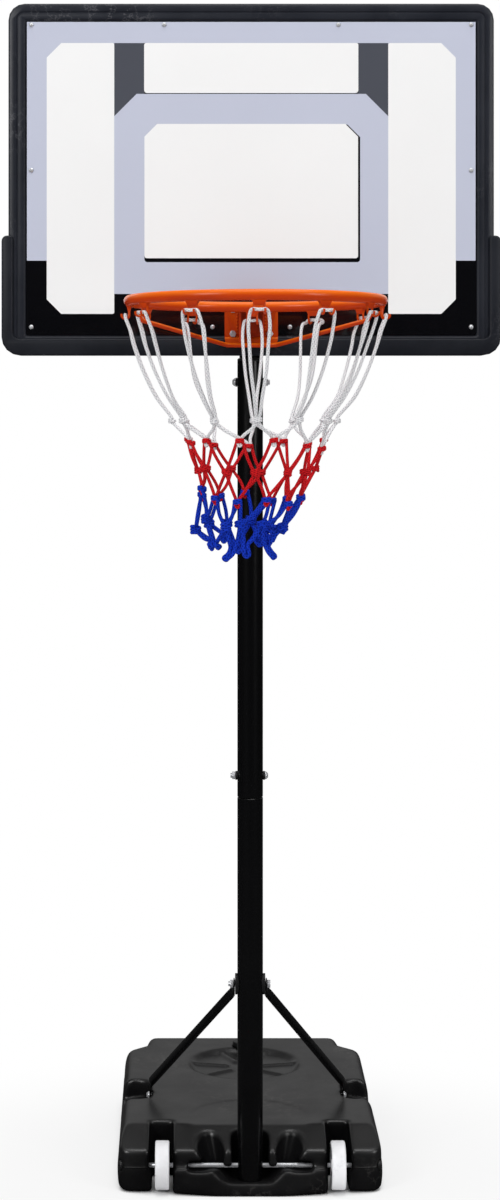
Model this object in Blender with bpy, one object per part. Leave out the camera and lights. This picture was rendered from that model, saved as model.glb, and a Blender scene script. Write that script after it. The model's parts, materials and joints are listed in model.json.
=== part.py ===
"""Free-standing basketball stand: wheeled tank, pole with a sliding mast, framed board, rim and net.

Metres, +Z up. The origin is on the floor under the pole's axis. The board and the rim are towards -Y.
"""

import math

import bmesh
import bpy
from mathutils import Matrix, Vector

# Facets of the round pieces
POLE_STEPS = 20
HOLE_SIDES = 6
CORD_SIDES = 4
CORNER_STEPS = 4  # of the rounded corners of the tank, the frame and the pad

# Clearances
GAP = 0.0003  # between pieces that touch
HOLE_GAP = 0.0003  # between a bolt and its hole, on the radius
MAST_GAP = 0.0020  # between the mast and the pole around it, on the radius

# Tank
TANK_HALF_WIDTH = 0.2238
TANK_BACK_HALF_WIDTH = 0.2275
TANK_BACK = 0.632
TANK_HEIGHT = 0.095
TANK_SEAM = 0.0425  # height of the seam between the tank's two halves
TANK_FRONT = -0.016  # front face above the seam
TANK_LOWER_FRONT = -0.028
TAB_FRONT = -0.043
TAB_HALF_WIDTH = 0.050
FRONT_SLOPE_FROM = 0.069  # height where the front face turns into the slope
FRONT_SLOPE_TO = 0.060  # how far back the slope reaches the flat top
FRONT_ROUNDING = 0.014
SHOULDER_BACK = 0.535
TAIL_HALF_WIDTH = 0.186
LIP_FLOOR = 0.020  # the ledge that the pole stands on
CHANNEL_GAP = 0.009  # beside the pole, in its channel
CHANNEL_BACK = 0.045
POCKET_RIDGE = 0.0115  # wall left between the channel and each pocket
POCKET_TOP_RADIUS = 0.0285
POCKET_LOW_RADIUS = 0.0150
POCKET_STRETCH = 2.0  # the pockets are oval, longer from front to back
POCKET_FLOOR = 0.039
DISH_PLACE = 0.440
DISH_RADIUS = 0.108
DISH_DEPTH = 0.010
DISH_RIB_HEIGHT = 0.006
DISH_RIBS = 7
PANEL_PLACE = 0.095
PANEL_RADIUS = 0.107
PANEL_DEPTH = 0.0015

# Wheels and axle
WHEEL_RADIUS = 0.040
WHEEL_WIDTH = 0.0236
WHEEL_PLACE = 0.1478  # middle of each wheel, from the pole's axis
WHEEL_CLEARANCE = 0.0060  # between a wheel and the walls beside it
FLOOR_CLEARANCE = 0.002
WELL_OUTER_ROOM = 0.0100  # the wider upper part of a well, outside the wheel
WELL_BACK_ROOM = 0.035  # behind the wheel
AXLE_RADIUS = 0.004
AXLE_END_INSET = 0.0055
AXLE_CAP_RADIUS = 0.0085
AXLE_CAP_POCKET = 0.0100

# Fill cap
CAP_PLACE = 0.557
CAP_RADIUS = 0.0195
CAP_HEIGHT = 0.009
CAP_PLUG_RADIUS = 0.0150
CAP_PLUG_LENGTH = 0.014
CAP_RIBS = 16

# Pole
POLE_RADIUS = 0.0215
POLE_WALL = 0.0015
LOWER_POLE_LENGTH = 0.6415  # up to its shoulder
NECK_LENGTH = 0.100
SHOULDER_LENGTH = 0.005
UPPER_POLE_LENGTH = 0.7325
POLE_BOLT_ABOVE_JOINT = 0.036
BUSH_LIP = 0.005
BUSH_DEPTH = 0.030
HEIGHT_BOLT_BELOW_TOP = 0.0355

# Mast
MAST_ABOVE_POLE = 0.1352  # its top above the pole, at the lowest setting
MAST_WALL = 0.0015
MAST_ABOVE_NECK = 0.018
TRAVEL = 0.480
HOLE_STEPS = 6  # the mast's holes divide the travel

# Cross bolts
BOLT_RADIUS = 0.0040
HEAD_RADIUS = 0.0068
HEAD_HEIGHT = 0.0050
WASHER_RADIUS = 0.0075
WASHER_WALL = 0.0030  # black washer, from the pole's side outwards

# Struts
STRUT_TOP = 0.3472
STRUT_RADIUS = 0.0080
STRUT_TAB = 0.0030  # thickness of its flattened ends
STRUT_TAB_HALF = 0.0090
SADDLE_WALL = 0.0035
SADDLE_HALF_HEIGHT = 0.0180
SADDLE_HALF_WIDTH = 0.0100
FOOT_WALL = 0.1705  # inner wall of the tank's strut recess, from the middle
FOOT_PLACE = 0.265
FOOT_BELOW_TOP = 0.011
FOOT_BOLT_LENGTH = 0.026

# Board
STANDOFF = 0.0200  # from the pole to the back of the frame
FRAME_DEPTH = 0.0285
FRAME_WIDTH = 0.803
FRAME_HEIGHT = 0.578
FRAME_ABOVE_POLE = 0.0117
FRAME_CORNER = 0.027
FRAME_BAND = 0.0290  # face of the frame, up to the sheet
FRAME_WALL = 0.0040
LEDGE_WIDTH = 0.0230
LEDGE_WALL = 0.0035
SHEET_WALL = 0.0040
SHEET_CORNER = 0.006
CORNER_SCREW_INSET = 0.0090  # from the sheet's edge
TOP_SCREW = 0.144
BOTTOM_SCREW = 0.064
SIDE_SCREW_HEIGHT = 0.302  # above the bottom of the frame
SCREW_RADIUS = 0.0018
SCREW_HEAD_RADIUS = 0.0042
SCREW_HEAD_HEIGHT = 0.0026
TAB_HALF = 0.075  # support behind the rim
TAB_TOP = 0.100

# Edge pad
PAD_SIDE = 0.0110
PAD_BELOW = 0.0038
PAD_LIP = 0.0050  # in front of the frame's face
PAD_BACK_LIP = 0.0042
PAD_OVER_SIDE = 0.0080
PAD_OVER_BOTTOM = 0.0235
PAD_TOP = 0.194  # above the bottom of the frame

# Rim
RING_RADIUS = 0.195
RING_TUBE = 0.008
RIM_STANDOFF = 0.057  # from the board's face to the outside of the ring
RING_HEIGHT = 0.073  # above the bottom of the frame
RIM_PLATE_HALF = 0.044
RIM_PLATE_TOP = 0.081
RIM_PLATE_BOTTOM = 0.0238
RIM_STEEL = 0.003
RIM_NUT_ROOM = 0.0034  # between a rim nut and the bracket's cheek
RIM_BOLT_ROWS = (0.0715, 0.0315)  # heights above the bottom of the frame
RIM_BOLT_RADIUS = 0.0030
RIM_HEAD_RADIUS = 0.0058
RIM_HEAD_HEIGHT = 0.0040
GUSSET_SPREAD = 0.0205
HOOKS = 12
HOOK_WIRE = 0.0019
HOOK_SPREAD = 0.009
HOOK_CURL = 0.0058  # radius of the curl's middle line
HOOK_DROP = 0.0215  # from the ring's middle line to the middle of the curl
BRACE_RADIUS = 0.0038
BRACE_HEIGHT = 0.0123  # above the bottom of the frame
BRACE_OUT = 0.020  # in front of the board's face
BRACE_HALF_FLAT = 0.040
BRACE_TO_HOOK = 0.034  # along the ring, from its end to the next hook

# Mast bracket
BRACKET_HALF = 0.046
BRACKET_STEEL = 0.003
BRACKET_TOP = 0.128
BRACKET_BOTTOM = 0.0255
MAST_BOLT_HEIGHTS = (0.040, 0.100)  # above the bottom of the frame

# Net: height of each row below the ring's middle line, and its radius
CORD_RADIUS = 0.0025
KNOT_RADIUS = 0.0060
LEG_DROP = 0.105  # where the legs of a loop have come in from the ring
LEG_INWARD = 0.025
ROW_KNOT = (0.185, 0.127)
ROW_WHITE_TIP = (0.2075, 0.106)
ROW_RED_TOP = (0.2165, 0.1040)
ROW_RED_MID = (0.252, 0.090)
ROW_RED_TIP = (0.2895, 0.076)
ROW_BLUE_TOP = (0.2990, 0.0755)
ROW_BLUE_MID = (0.340, 0.064)
ROW_BLUE_TIP = (0.392, 0.054)
SCALLOP_BULGE = 0.004
NET_LEAN = 0.022  # to the left, reached between these two heights
LEAN_FROM = 0.200
LEAN_TO = 0.360

# Derived places
POLE_FOOT = LIP_FLOOR + GAP
JOINT_HEIGHT = POLE_FOOT + LOWER_POLE_LENGTH
UPPER_POLE_FOOT = JOINT_HEIGHT + GAP
POLE_TOP = UPPER_POLE_FOOT + UPPER_POLE_LENGTH
NECK_TOP = JOINT_HEIGHT + NECK_LENGTH
POLE_BOLT_HEIGHT = JOINT_HEIGHT + POLE_BOLT_ABOVE_JOINT
HEIGHT_BOLT_HEIGHT = POLE_TOP - HEIGHT_BOLT_BELOW_TOP
MAST_RADIUS = POLE_RADIUS - POLE_WALL - MAST_GAP
MAST_FOOT = NECK_TOP + MAST_ABOVE_NECK
MAST_LENGTH = POLE_TOP + MAST_ABOVE_POLE - MAST_FOOT
AXLE_HEIGHT = WHEEL_RADIUS + FLOOR_CLEARANCE
CHANNEL_HALF = POLE_RADIUS + CHANNEL_GAP
FRAME_FOOT = POLE_TOP + FRAME_ABOVE_POLE
BOARD_FACE = -(POLE_RADIUS + STANDOFF + FRAME_DEPTH)
RING_REACH = RIM_STANDOFF + RING_TUBE + RING_RADIUS
BRACE_END_ANGLE = 2 * math.pi / HOOKS - BRACE_TO_HOOK / RING_RADIUS
RIM_BOLT_SPREAD = MAST_RADIUS + GAP + BRACKET_STEEL + RIM_NUT_ROOM + RIM_HEAD_RADIUS
RING_MIDDLE = Vector((0, BOARD_FACE - RING_REACH, FRAME_FOOT + RING_HEIGHT))
FOOT_HEIGHT = TANK_HEIGHT - FOOT_BELOW_TOP
LEDGE_FRONT = SHEET_WALL + 2 * GAP + 0.0004
LEDGE_BACK = LEDGE_FRONT + LEDGE_WALL
UP = Vector((0, 0, 1))


# Scene and materials
def clear_scene():
    for obj in list(bpy.data.objects):
        bpy.data.objects.remove(obj, do_unlink=True)


def finish(name, colour, roughness, metallic=0.0):
    material = bpy.data.materials.new(name)
    material.use_nodes = True
    shader = material.node_tree.nodes["Principled BSDF"]
    shader.inputs["Base Color"].default_value = (*colour, 1)
    shader.inputs["Roughness"].default_value = roughness
    shader.inputs["Metallic"].default_value = metallic
    return material


FINISHES = {
    "tank_plastic": ((0.030, 0.029, 0.030), 0.45, 0),
    "cap_plastic": ((0.012, 0.012, 0.013), 0.40, 0),
    "wheel_plastic": ((0.78, 0.78, 0.80), 0.45, 0),
    "zinc": ((0.62, 0.62, 0.63), 0.30, 1),
    "pole_paint": ((0.010, 0.010, 0.012), 0.30, 0),
    "frame_plastic": ((0.016, 0.018, 0.026), 0.38, 0),
    "pad_rubber": ((0.012, 0.014, 0.019), 0.55, 0),
    "sheet_print": ((0.52, 0.54, 0.64), 0.12, 0),
    "rim_paint": ((0.80, 0.17, 0.015), 0.25, 0),
    "white_cord": ((0.82, 0.82, 0.82), 0.75, 0),
    "red_cord": ((0.55, 0.015, 0.02), 0.75, 0),
    "blue_cord": ((0.01, 0.03, 0.38), 0.75, 0),
}


def add_part(name, bm, look, at=(0, 0, 0), parent=None, turn=None, smooth=None):
    """A named object from a closed mesh, placed by its own location and turn."""
    bmesh.ops.recalc_face_normals(bm, faces=bm.faces)
    mesh = bpy.data.meshes.new(name)
    bm.to_mesh(mesh)
    bm.free()
    obj = bpy.data.objects.new(name, mesh)
    bpy.context.scene.collection.objects.link(obj)
    obj.location = at
    obj.parent = parent
    if turn:
        obj.rotation_euler = turn
    if smooth:
        mesh.shade_smooth()
        mesh.set_sharp_from_angle(angle=math.radians(smooth))
    if look:
        mesh.materials.append(MATERIALS[look])
    return obj


def add_empty(name, at=(0, 0, 0)):
    empty = bpy.data.objects.new(name, None)
    bpy.context.scene.collection.objects.link(empty)
    empty.location = at
    return empty


def shape_with(target, operation, bm, crossing=False):
    """Cuts or joins a helper shape, given in the target's own frame."""
    helper = add_part(f"{target.name}_{operation.lower()}", bm, None, target.location, target.parent)
    helper.rotation_euler = target.rotation_euler
    helper.hide_render = True
    helper.display_type = "WIRE"
    modifier = target.modifiers.new(operation.title(), "BOOLEAN")
    modifier.operation = operation
    modifier.object = helper
    modifier.use_self = crossing
    return helper


def cut(target, *shapes, crossing=False):
    return shape_with(target, "DIFFERENCE", merged(shapes), crossing)


def fuse(target, *shapes, crossing=False):
    return shape_with(target, "UNION", merged(shapes), crossing)


# Shapes
def merged(shapes):
    """One mesh that holds several closed shapes."""
    whole = bmesh.new()
    for bm in shapes:
        bmesh.ops.recalc_face_normals(bm, faces=bm.faces)
        mesh = bpy.data.meshes.new("piece")
        bm.to_mesh(mesh)
        bm.free()
        whole.from_mesh(mesh)
        bpy.data.meshes.remove(mesh)
    return whole


def moved(bm, matrix):
    bmesh.ops.transform(bm, matrix=matrix, verts=bm.verts)
    return bm


def shifted(bm, x=0.0, y=0.0, z=0.0):
    return moved(bm, Matrix.Translation((x, y, z)))


def skin(rings, closed=False):
    """A closed body through rings that have as many points each."""
    bm = bmesh.new()
    loops = [[bm.verts.new(point) for point in ring] for ring in rings]
    pairs = list(zip(loops, loops[1:]))
    if closed:
        pairs.append((loops[-1], loops[0]))
    for low, high in pairs:
        for i in range(len(low)):
            j = (i + 1) % len(low)
            bm.faces.new((low[i], low[j], high[j], high[i]))
    if not closed:
        bm.faces.new(loops[0][::-1])
        bm.faces.new(loops[-1])
    return bm


def block(low, high):
    bm = bmesh.new()
    bmesh.ops.create_cube(bm, size=1)
    size = Vector(high) - Vector(low)
    moved(bm, Matrix.Diagonal((*size, 1)))
    return shifted(bm, *((Vector(high) + Vector(low)) / 2))


def prism(outline, low, high):
    """An outline of (x, y) points, extruded up from low to high."""
    return skin([[(x, y, z) for x, y in outline] for z in (low, high)])


def along_x(bm):
    """Turns a shape that stands on Z so that it lies along X: its x becomes y, and its y becomes z."""
    turn = Matrix(((0, 0, 1, 0), (1, 0, 0, 0), (0, 1, 0, 0), (0, 0, 0, 1)))
    return moved(bm, turn)


def along_y(bm):
    """Turns a shape that stands on Z so that it lies along Y: its y becomes z, mirrored."""
    return moved(bm, Matrix.Rotation(math.radians(-90), 4, "X"))


def rod(radius, low, high, sides=16):
    return skin([[(*point, z) for point in circle(radius, sides)] for z in (low, high)])


def bore(radius, low, high, sides=HOLE_SIDES):
    """A cutter whose flat sides, not its corners, are at the radius."""
    return rod(radius / math.cos(math.pi / sides), low, high, sides)


def circle(radius, sides, start=0.0):
    angles = [start + 2 * math.pi * i / sides for i in range(sides)]
    return [(radius * math.cos(a), radius * math.sin(a)) for a in angles]


def hexagon(radius, sides):
    """As many points as a circle of these sides, but on a hexagon of this corner radius."""
    points = []
    for i in range(sides):
        angle = 2 * math.pi * i / sides
        off_middle = (angle + math.pi / 6) % (math.pi / 3) - math.pi / 6
        reach = radius * math.cos(math.pi / 6) / math.cos(math.pi / 6 - abs(off_middle))
        points.append((reach * math.cos(angle), reach * math.sin(angle)))
    return points


def turned(profile, steps):
    """A body turned round Z from a closed outline of (radius, height) points."""
    bm = bmesh.new()
    points = [bm.verts.new((radius, 0, height)) for radius, height in profile]
    edges = []
    for start, end in zip(points, points[1:] + points[:1]):
        if start.co.x > 0 or end.co.x > 0:
            edges.append(bm.edges.new((start, end)))
    bmesh.ops.spin(
        bm, geom=points + edges, cent=(0, 0, 0), axis=(0, 0, 1),
        angle=2 * math.pi, steps=steps, use_merge=True,
    )
    bmesh.ops.remove_doubles(bm, verts=bm.verts, dist=1e-6)
    return bm


def tube(radius, wall, low, high, steps=POLE_STEPS):
    inside = radius - wall
    return turned([(inside, low), (radius, low), (radius, high), (inside, high)], steps)


def bolt(radius, reach, head_radius, head_height, domed=False, sides=12):
    """A bolt along +Z: its head's underside is at 0, and its shank goes down."""
    rings = [(circle, radius, -reach), (circle, radius, 0)]
    if domed:
        rings += [
            (circle, head_radius, 0),
            (circle, head_radius * 0.93, head_height * 0.4),
            (circle, head_radius * 0.5, head_height),
        ]
    else:
        rings += [(hexagon, head_radius, 0), (hexagon, head_radius, head_height)]
    return skin([[(x, y, z) for x, y in shape(size, sides)] for shape, size, z in rings])


def nut(inner, outer, height, sides=6):
    wide = inner / math.cos(math.pi / sides)
    rings = [(outer, 0), (outer, height), (wide, height), (wide, 0)]
    return skin([[(x, y, z) for x, y in circle(size, sides)] for size, z in rings], closed=True)


def fillet(before, corner, after, radius, steps):
    """Points of the arc that rounds a corner of an outline."""
    if radius == 0:
        return [corner]
    to_before = (before - corner).normalized()
    to_after = (after - corner).normalized()
    half = to_before.angle(to_after) / 2
    middle = corner + (to_before + to_after).normalized() * (radius / math.sin(half))
    start = corner + to_before * (radius / math.tan(half)) - middle
    end = corner + to_after * (radius / math.tan(half)) - middle
    points = []
    sweep = start.angle(end)
    for i in range(steps + 1):
        t = i / steps
        weight = math.sin(sweep * (1 - t)), math.sin(sweep * t)
        points.append(middle + (start * weight[0] + end * weight[1]) / math.sin(sweep))
    return points


def rounded(corners, steps=CORNER_STEPS):
    """A closed outline from (x, y, radius) corners."""
    spots = [Vector((x, y, 0)) for x, y, _ in corners]
    outline = []
    for i, (_, _, radius) in enumerate(corners):
        after = spots[(i + 1) % len(spots)]
        outline += fillet(spots[i - 1], spots[i], after, radius, steps)
    return [(point.x, point.y) for point in outline]


def rounded_box(half_width, low, high, radius, steps=CORNER_STEPS):
    return rounded(
        [
            (half_width, low, radius), (half_width, high, radius),
            (-half_width, high, radius), (-half_width, low, radius),
        ],
        steps,
    )


def inset(outline, depth):
    """The outline, drawn in by depth all round; it runs anticlockwise."""
    points = [Vector((x, y, 0)) for x, y in outline]
    result = []
    for i, point in enumerate(points):
        before = (point - points[i - 1]).normalized()
        after = (points[(i + 1) % len(points)] - point).normalized()
        inward = UP.cross(before) + UP.cross(after)
        inward.normalize()
        stretch = 1 / max(0.5, inward.dot(UP.cross(after)))
        result.append(point + inward * depth * stretch)
    return [(point.x, point.y) for point in result]


def sweep(path, radius, sides=6, closed=False):
    """A round bar along a path of points."""
    rings = []
    across = None
    count = len(path)
    for i, point in enumerate(path):
        before = path[i - 1] if closed or i else point
        after = path[(i + 1) % count] if closed or i + 1 < count else point
        heading = (after - before).normalized()
        across = across or heading.orthogonal()
        across = (across - heading * across.dot(heading)).normalized()
        other = heading.cross(across)
        rings.append([point + across * x + other * y for x, y in circle(radius, sides)])
    return skin(rings, closed)


# Tank
def tank_outline(front, tab_front, depth):
    """Plan of the tank at one level, drawn in by depth."""
    half = [
        (TAB_HALF_WIDTH, tab_front, 0),
        (WHEEL_PLACE - 0.020, front, 0),
        (WHEEL_PLACE, front, 0),
        (WHEEL_PLACE + 0.001, TANK_FRONT, 0),
        (TANK_HALF_WIDTH, TANK_FRONT, 0.022),
        (TANK_HALF_WIDTH, 0.080, 0),
        (TANK_BACK_HALF_WIDTH, SHOULDER_BACK, 0.032),
        (TAIL_HALF_WIDTH + 0.007, SHOULDER_BACK + 0.037, 0.012),
        (TAIL_HALF_WIDTH, TANK_BACK, 0.018),
    ]
    other = [(-x, y, radius) for x, y, radius in reversed(half)]
    return inset(rounded(half + other), depth)


def tank_body():
    lower = [(0, 0.0090), (0.003, 0.0045), (0.009, 0.0015), (0.030, 0.0002), (TANK_SEAM, 0.0)]
    upper = [
        (TANK_SEAM, 0.0014), (0.068, 0.0026), (0.082, 0.0052), (0.0910, 0.0098), (TANK_HEIGHT, 0.0175),
    ]
    rings = []
    for height, depth in lower:
        rings.append([(x, y, height) for x, y in tank_outline(TANK_LOWER_FRONT, TAB_FRONT, depth)])
    for height, depth in upper:
        rings.append([(x, y, height) for x, y in tank_outline(TANK_FRONT - 0.0001, TANK_FRONT - 0.0002, depth)])
    bm = skin(rings)
    slope_front_of_tank(bm)
    return bm


def slope_front_of_tank(bm):
    """Planes that turn from the front face to the slope, tangent to one rounding."""
    slope = math.atan2(TANK_HEIGHT - FRONT_SLOPE_FROM, FRONT_SLOPE_TO - TANK_FRONT)
    slope_normal = Vector((0, -math.sin(slope), math.cos(slope)))
    to_middle = FRONT_ROUNDING * math.tan((math.pi / 2 - slope) / 2)
    middle = Vector((0, TANK_FRONT + FRONT_ROUNDING, FRONT_SLOPE_FROM - to_middle))
    steps = 3
    for i in range(steps + 1):
        angle = slope + (math.pi / 2 - slope) * i / (steps + 1)
        normal = Vector((0, -math.sin(angle), math.cos(angle))) if i else slope_normal
        result = bmesh.ops.bisect_plane(
            bm, geom=[*bm.verts, *bm.edges, *bm.faces], dist=1e-7,
            plane_co=middle + normal * FRONT_ROUNDING, plane_no=normal, clear_outer=True,
        )
        rim = [item for item in result["geom_cut"] if isinstance(item, bmesh.types.BMEdge)]
        bmesh.ops.edgeloop_fill(bm, edges=rim)


def wheel_well(side):
    """Open at the front, top and bottom; wider outside the wheel above the axle."""
    inner = WHEEL_PLACE - WHEEL_WIDTH / 2 - WHEEL_CLEARANCE
    outer = WHEEL_PLACE + WHEEL_WIDTH / 2 + WHEEL_CLEARANCE
    wide = WHEEL_PLACE + WHEEL_WIDTH / 2 + WELL_OUTER_ROOM
    step = AXLE_HEIGHT - 2 * AXLE_RADIUS
    above = TANK_HEIGHT + 0.05
    outline = [
        (inner, -0.05), (outer, -0.05), (outer, step), (wide, step + 0.004), (wide, above), (inner, above),
    ]
    back = WHEEL_RADIUS + WELL_BACK_ROOM
    well = skin([[(side * x, y, z) for x, z in outline] for y in (TAB_FRONT - 0.05, back)])
    return well


def pocket(side):
    """Half of an upright oval cone, sunk into the front face beside the pole."""
    middle = CHANNEL_HALF + POCKET_RIDGE + POCKET_TOP_RADIUS
    low_middle = CHANNEL_HALF + POCKET_RIDGE + POCKET_LOW_RADIUS + 0.003
    above = TANK_HEIGHT + 0.010
    rings = []
    for place, radius, height in (
        (low_middle, POCKET_LOW_RADIUS - 0.003, POCKET_FLOOR),
        (low_middle, POCKET_LOW_RADIUS, POCKET_FLOOR + 0.004),
        (middle, POCKET_TOP_RADIUS, TANK_HEIGHT - 0.010),
        (middle, POCKET_TOP_RADIUS + 0.001, above),
    ):
        ring = [
            (side * place + x, TANK_FRONT + y * POCKET_STRETCH, height) for x, y in circle(radius, 20)
        ]
        rings.append(ring)
    return skin(rings)


def pole_channel():
    """Slot that is open at the front, with a round back, down to the lip's floor."""
    front = TAB_FRONT - 0.03
    corners = [
        (CHANNEL_HALF, front, 0), (CHANNEL_HALF, CHANNEL_BACK, 0.018),
        (-CHANNEL_HALF, CHANNEL_BACK, 0.018), (-CHANNEL_HALF, front, 0),
    ]
    return prism(rounded(corners, 3), TANK_SEAM - 0.006, TANK_HEIGHT + 0.05)


def lip_recess():
    """Trapezoid mouth of the lip: slanted cheeks, narrower towards the back."""
    rings = []
    for y, top_half, floor_half in (
        (TAB_FRONT - 0.01, 0.095, 0.038),
        (TANK_FRONT + 0.004, 0.060, 0.031),
        (CHANNEL_BACK - 0.002, CHANNEL_HALF - 0.001, POLE_RADIUS + 0.003),
    ):
        top = TANK_SEAM + 0.0005
        rings.append([
            (-floor_half, y, LIP_FLOOR), (floor_half, y, LIP_FLOOR), (top_half, y, top), (-top_half, y, top),
        ])
    return skin(rings)


def axle_window(side):
    """Small opening at the seam where the axle shows beside each pocket."""
    low = (0.070, TAB_FRONT, TANK_SEAM - 0.0060)
    high = (0.104, 0.008, TANK_SEAM + 0.0085)
    window = block(low, high)
    if side < 0:
        moved(window, Matrix.Diagonal((-1, 1, 1, 1)))
    return window


def strut_recess(side):
    """Trough that falls away to the tank's side, with an upright inner wall for the strut's bolt."""
    front = FOOT_PLACE - 0.052
    back = FOOT_PLACE + 0.060
    outside = TANK_HALF_WIDTH + 0.050
    corners = [
        (FOOT_WALL, front, 0.018), (outside, front - 0.010, 0),
        (outside, back + 0.004, 0), (FOOT_WALL, back, 0.026),
    ]
    outline = rounded(corners, 3)
    fall = 0.16
    depth = 0.030
    low = [(side * x, y, TANK_HEIGHT - depth - fall * (x - FOOT_WALL)) for x, y in outline]
    high = [(side * x, y, TANK_HEIGHT + 0.03) for x, y in outline]
    return skin([low, high])


def dish():
    """Round dish with raised ribs like spokes."""
    floor = TANK_HEIGHT - DISH_DEPTH
    profile = [
        (0, TANK_HEIGHT + 0.01), (0, floor), (DISH_RADIUS - 0.014, floor),
        (DISH_RADIUS - 0.004, TANK_HEIGHT - 0.002), (DISH_RADIUS, TANK_HEIGHT + 0.01),
    ]
    bowl = add_part("dish_cutter", turned(profile, 28), None, (0, DISH_PLACE, 0))
    ribs = []
    for i in range(DISH_RIBS):
        rib = block((0.030, -0.007, floor - 0.01), (DISH_RADIUS - 0.006, 0.007, floor + DISH_RIB_HEIGHT))
        for vert in rib.verts:
            if vert.co.z > floor:
                vert.co.y *= 0.6
        ribs.append(moved(rib, Matrix.Rotation(2 * math.pi * (i + 0.25) / DISH_RIBS, 4, "Z")))
    cut(bowl, *ribs)
    bowl.hide_render = True
    bowl.display_type = "WIRE"
    return bowl


def make_tank():
    tank = add_part("base_tank", tank_body(), "tank_plastic", smooth=50)
    floor = TANK_HEIGHT - PANEL_DEPTH
    above = TANK_HEIGHT + 0.01
    panel = turned([(0, floor), (PANEL_RADIUS - 0.002, floor), (PANEL_RADIUS, above), (0, above)], 28)
    cut(tank, shifted(panel, y=PANEL_PLACE))
    cut(tank, wheel_well(-1), wheel_well(1), pocket(-1), pocket(1), strut_recess(-1), strut_recess(1))
    cut(tank, pole_channel())
    cut(tank, lip_recess())
    cut(tank, axle_window(-1), axle_window(1))
    bowl = tank.modifiers.new("Dish", "BOOLEAN")
    bowl.operation = "DIFFERENCE"
    bowl.object = dish()
    half = TANK_HALF_WIDTH + 0.02
    cut(tank, shifted(along_x(bore(AXLE_RADIUS + HOLE_GAP, -half, half)), z=AXLE_HEIGHT))
    neck = rod(CAP_PLUG_RADIUS + GAP * 2, TANK_HEIGHT - CAP_PLUG_LENGTH - 0.012, TANK_HEIGHT + 0.02, 24)
    holes = [shifted(neck, y=CAP_PLACE)]
    for side in (-1, 1):
        start = TANK_HALF_WIDTH - AXLE_CAP_POCKET
        seat = along_x(rod(AXLE_CAP_RADIUS + 0.001, start, start + 0.03, 20))
        hole = along_x(bore(BOLT_RADIUS + HOLE_GAP, FOOT_WALL - FOOT_BOLT_LENGTH, FOOT_WALL + 0.01))
        shifted(seat, z=AXLE_HEIGHT)
        shifted(hole, y=FOOT_PLACE, z=FOOT_HEIGHT)
        for shape in (seat, hole):
            holes.append(moved(shape, Matrix.Diagonal((side, 1, 1, 1))))
    cut(tank, *holes)


def make_fill_cap(parent):
    sides = CAP_RIBS * 2
    rings = [
        (CAP_PLUG_RADIUS - 0.001, CAP_PLUG_RADIUS - 0.001, -CAP_PLUG_LENGTH),
        (CAP_PLUG_RADIUS, CAP_PLUG_RADIUS, -CAP_PLUG_LENGTH + 0.002),
        (CAP_PLUG_RADIUS, CAP_PLUG_RADIUS, GAP),
        (CAP_RADIUS, CAP_RADIUS - 0.0008, GAP),
        (CAP_RADIUS, CAP_RADIUS - 0.0008, CAP_HEIGHT - 0.0015),
        (CAP_RADIUS - 0.0016, CAP_RADIUS - 0.0018, CAP_HEIGHT),
    ]
    body = []
    for ridge, groove, height in rings:
        ring = []
        for i in range(sides):
            radius = groove if i % 2 else ridge
            angle = 2 * math.pi * i / sides
            ring.append((radius * math.cos(angle), radius * math.sin(angle), height))
        body.append(ring)
    return add_part("fill_cap", skin(body), "cap_plastic", (0, 0, 0), parent, smooth=40)


# Wheels and axle
def make_wheel(name, side):
    half = WHEEL_WIDTH / 2
    hub = AXLE_RADIUS + HOLE_GAP
    web = 0.0030
    outer = WHEEL_RADIUS
    right = [
        (outer, half - 0.0018), (outer - 0.0018, half), (outer - 0.0075, half), (outer - 0.010, web),
        (0.0115, web), (0.0105, half), (hub, half),
    ]
    profile = [(radius, -height) for radius, height in reversed(right)] + right
    wheel = along_x(turned(profile, 24))
    return add_part(name, wheel, "wheel_plastic", (side * WHEEL_PLACE, 0, AXLE_HEIGHT), smooth=40)


def make_axle():
    half = TANK_HALF_WIDTH - AXLE_END_INSET
    shaft = skin([
        [(*point, z) for point in circle(radius, 16)]
        for radius, z in (
            (AXLE_RADIUS - 0.0006, -half), (AXLE_RADIUS, -half + 0.0008),
            (AXLE_RADIUS, half - 0.0008), (AXLE_RADIUS - 0.0006, half),
        )
    ])
    add_part("axle", along_x(shaft), "zinc", (0, 0, AXLE_HEIGHT), smooth=40)
    start = TANK_HALF_WIDTH - AXLE_CAP_POCKET + GAP
    end = TANK_HALF_WIDTH - AXLE_END_INSET + GAP
    hole = AXLE_RADIUS + HOLE_GAP
    profile = [
        (0, end), (hole, end), (hole, start), (AXLE_CAP_RADIUS, start),
        (AXLE_CAP_RADIUS, end), (AXLE_CAP_RADIUS - 0.003, end + 0.0028), (0, end + 0.0036),
    ]
    for side, name in ((-1, "axle_cap_left"), (1, "axle_cap_right")):
        cap = moved(along_x(turned(profile, 16)), Matrix.Diagonal((side, 1, 1, 1)))
        add_part(name, cap, "cap_plastic", (0, 0, AXLE_HEIGHT), smooth=40)


# Pole and its cross bolts
def cross_hole(height, radius=BOLT_RADIUS, half=0.05):
    return shifted(along_x(bore(radius + HOLE_GAP, -half, half)), z=height)


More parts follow.
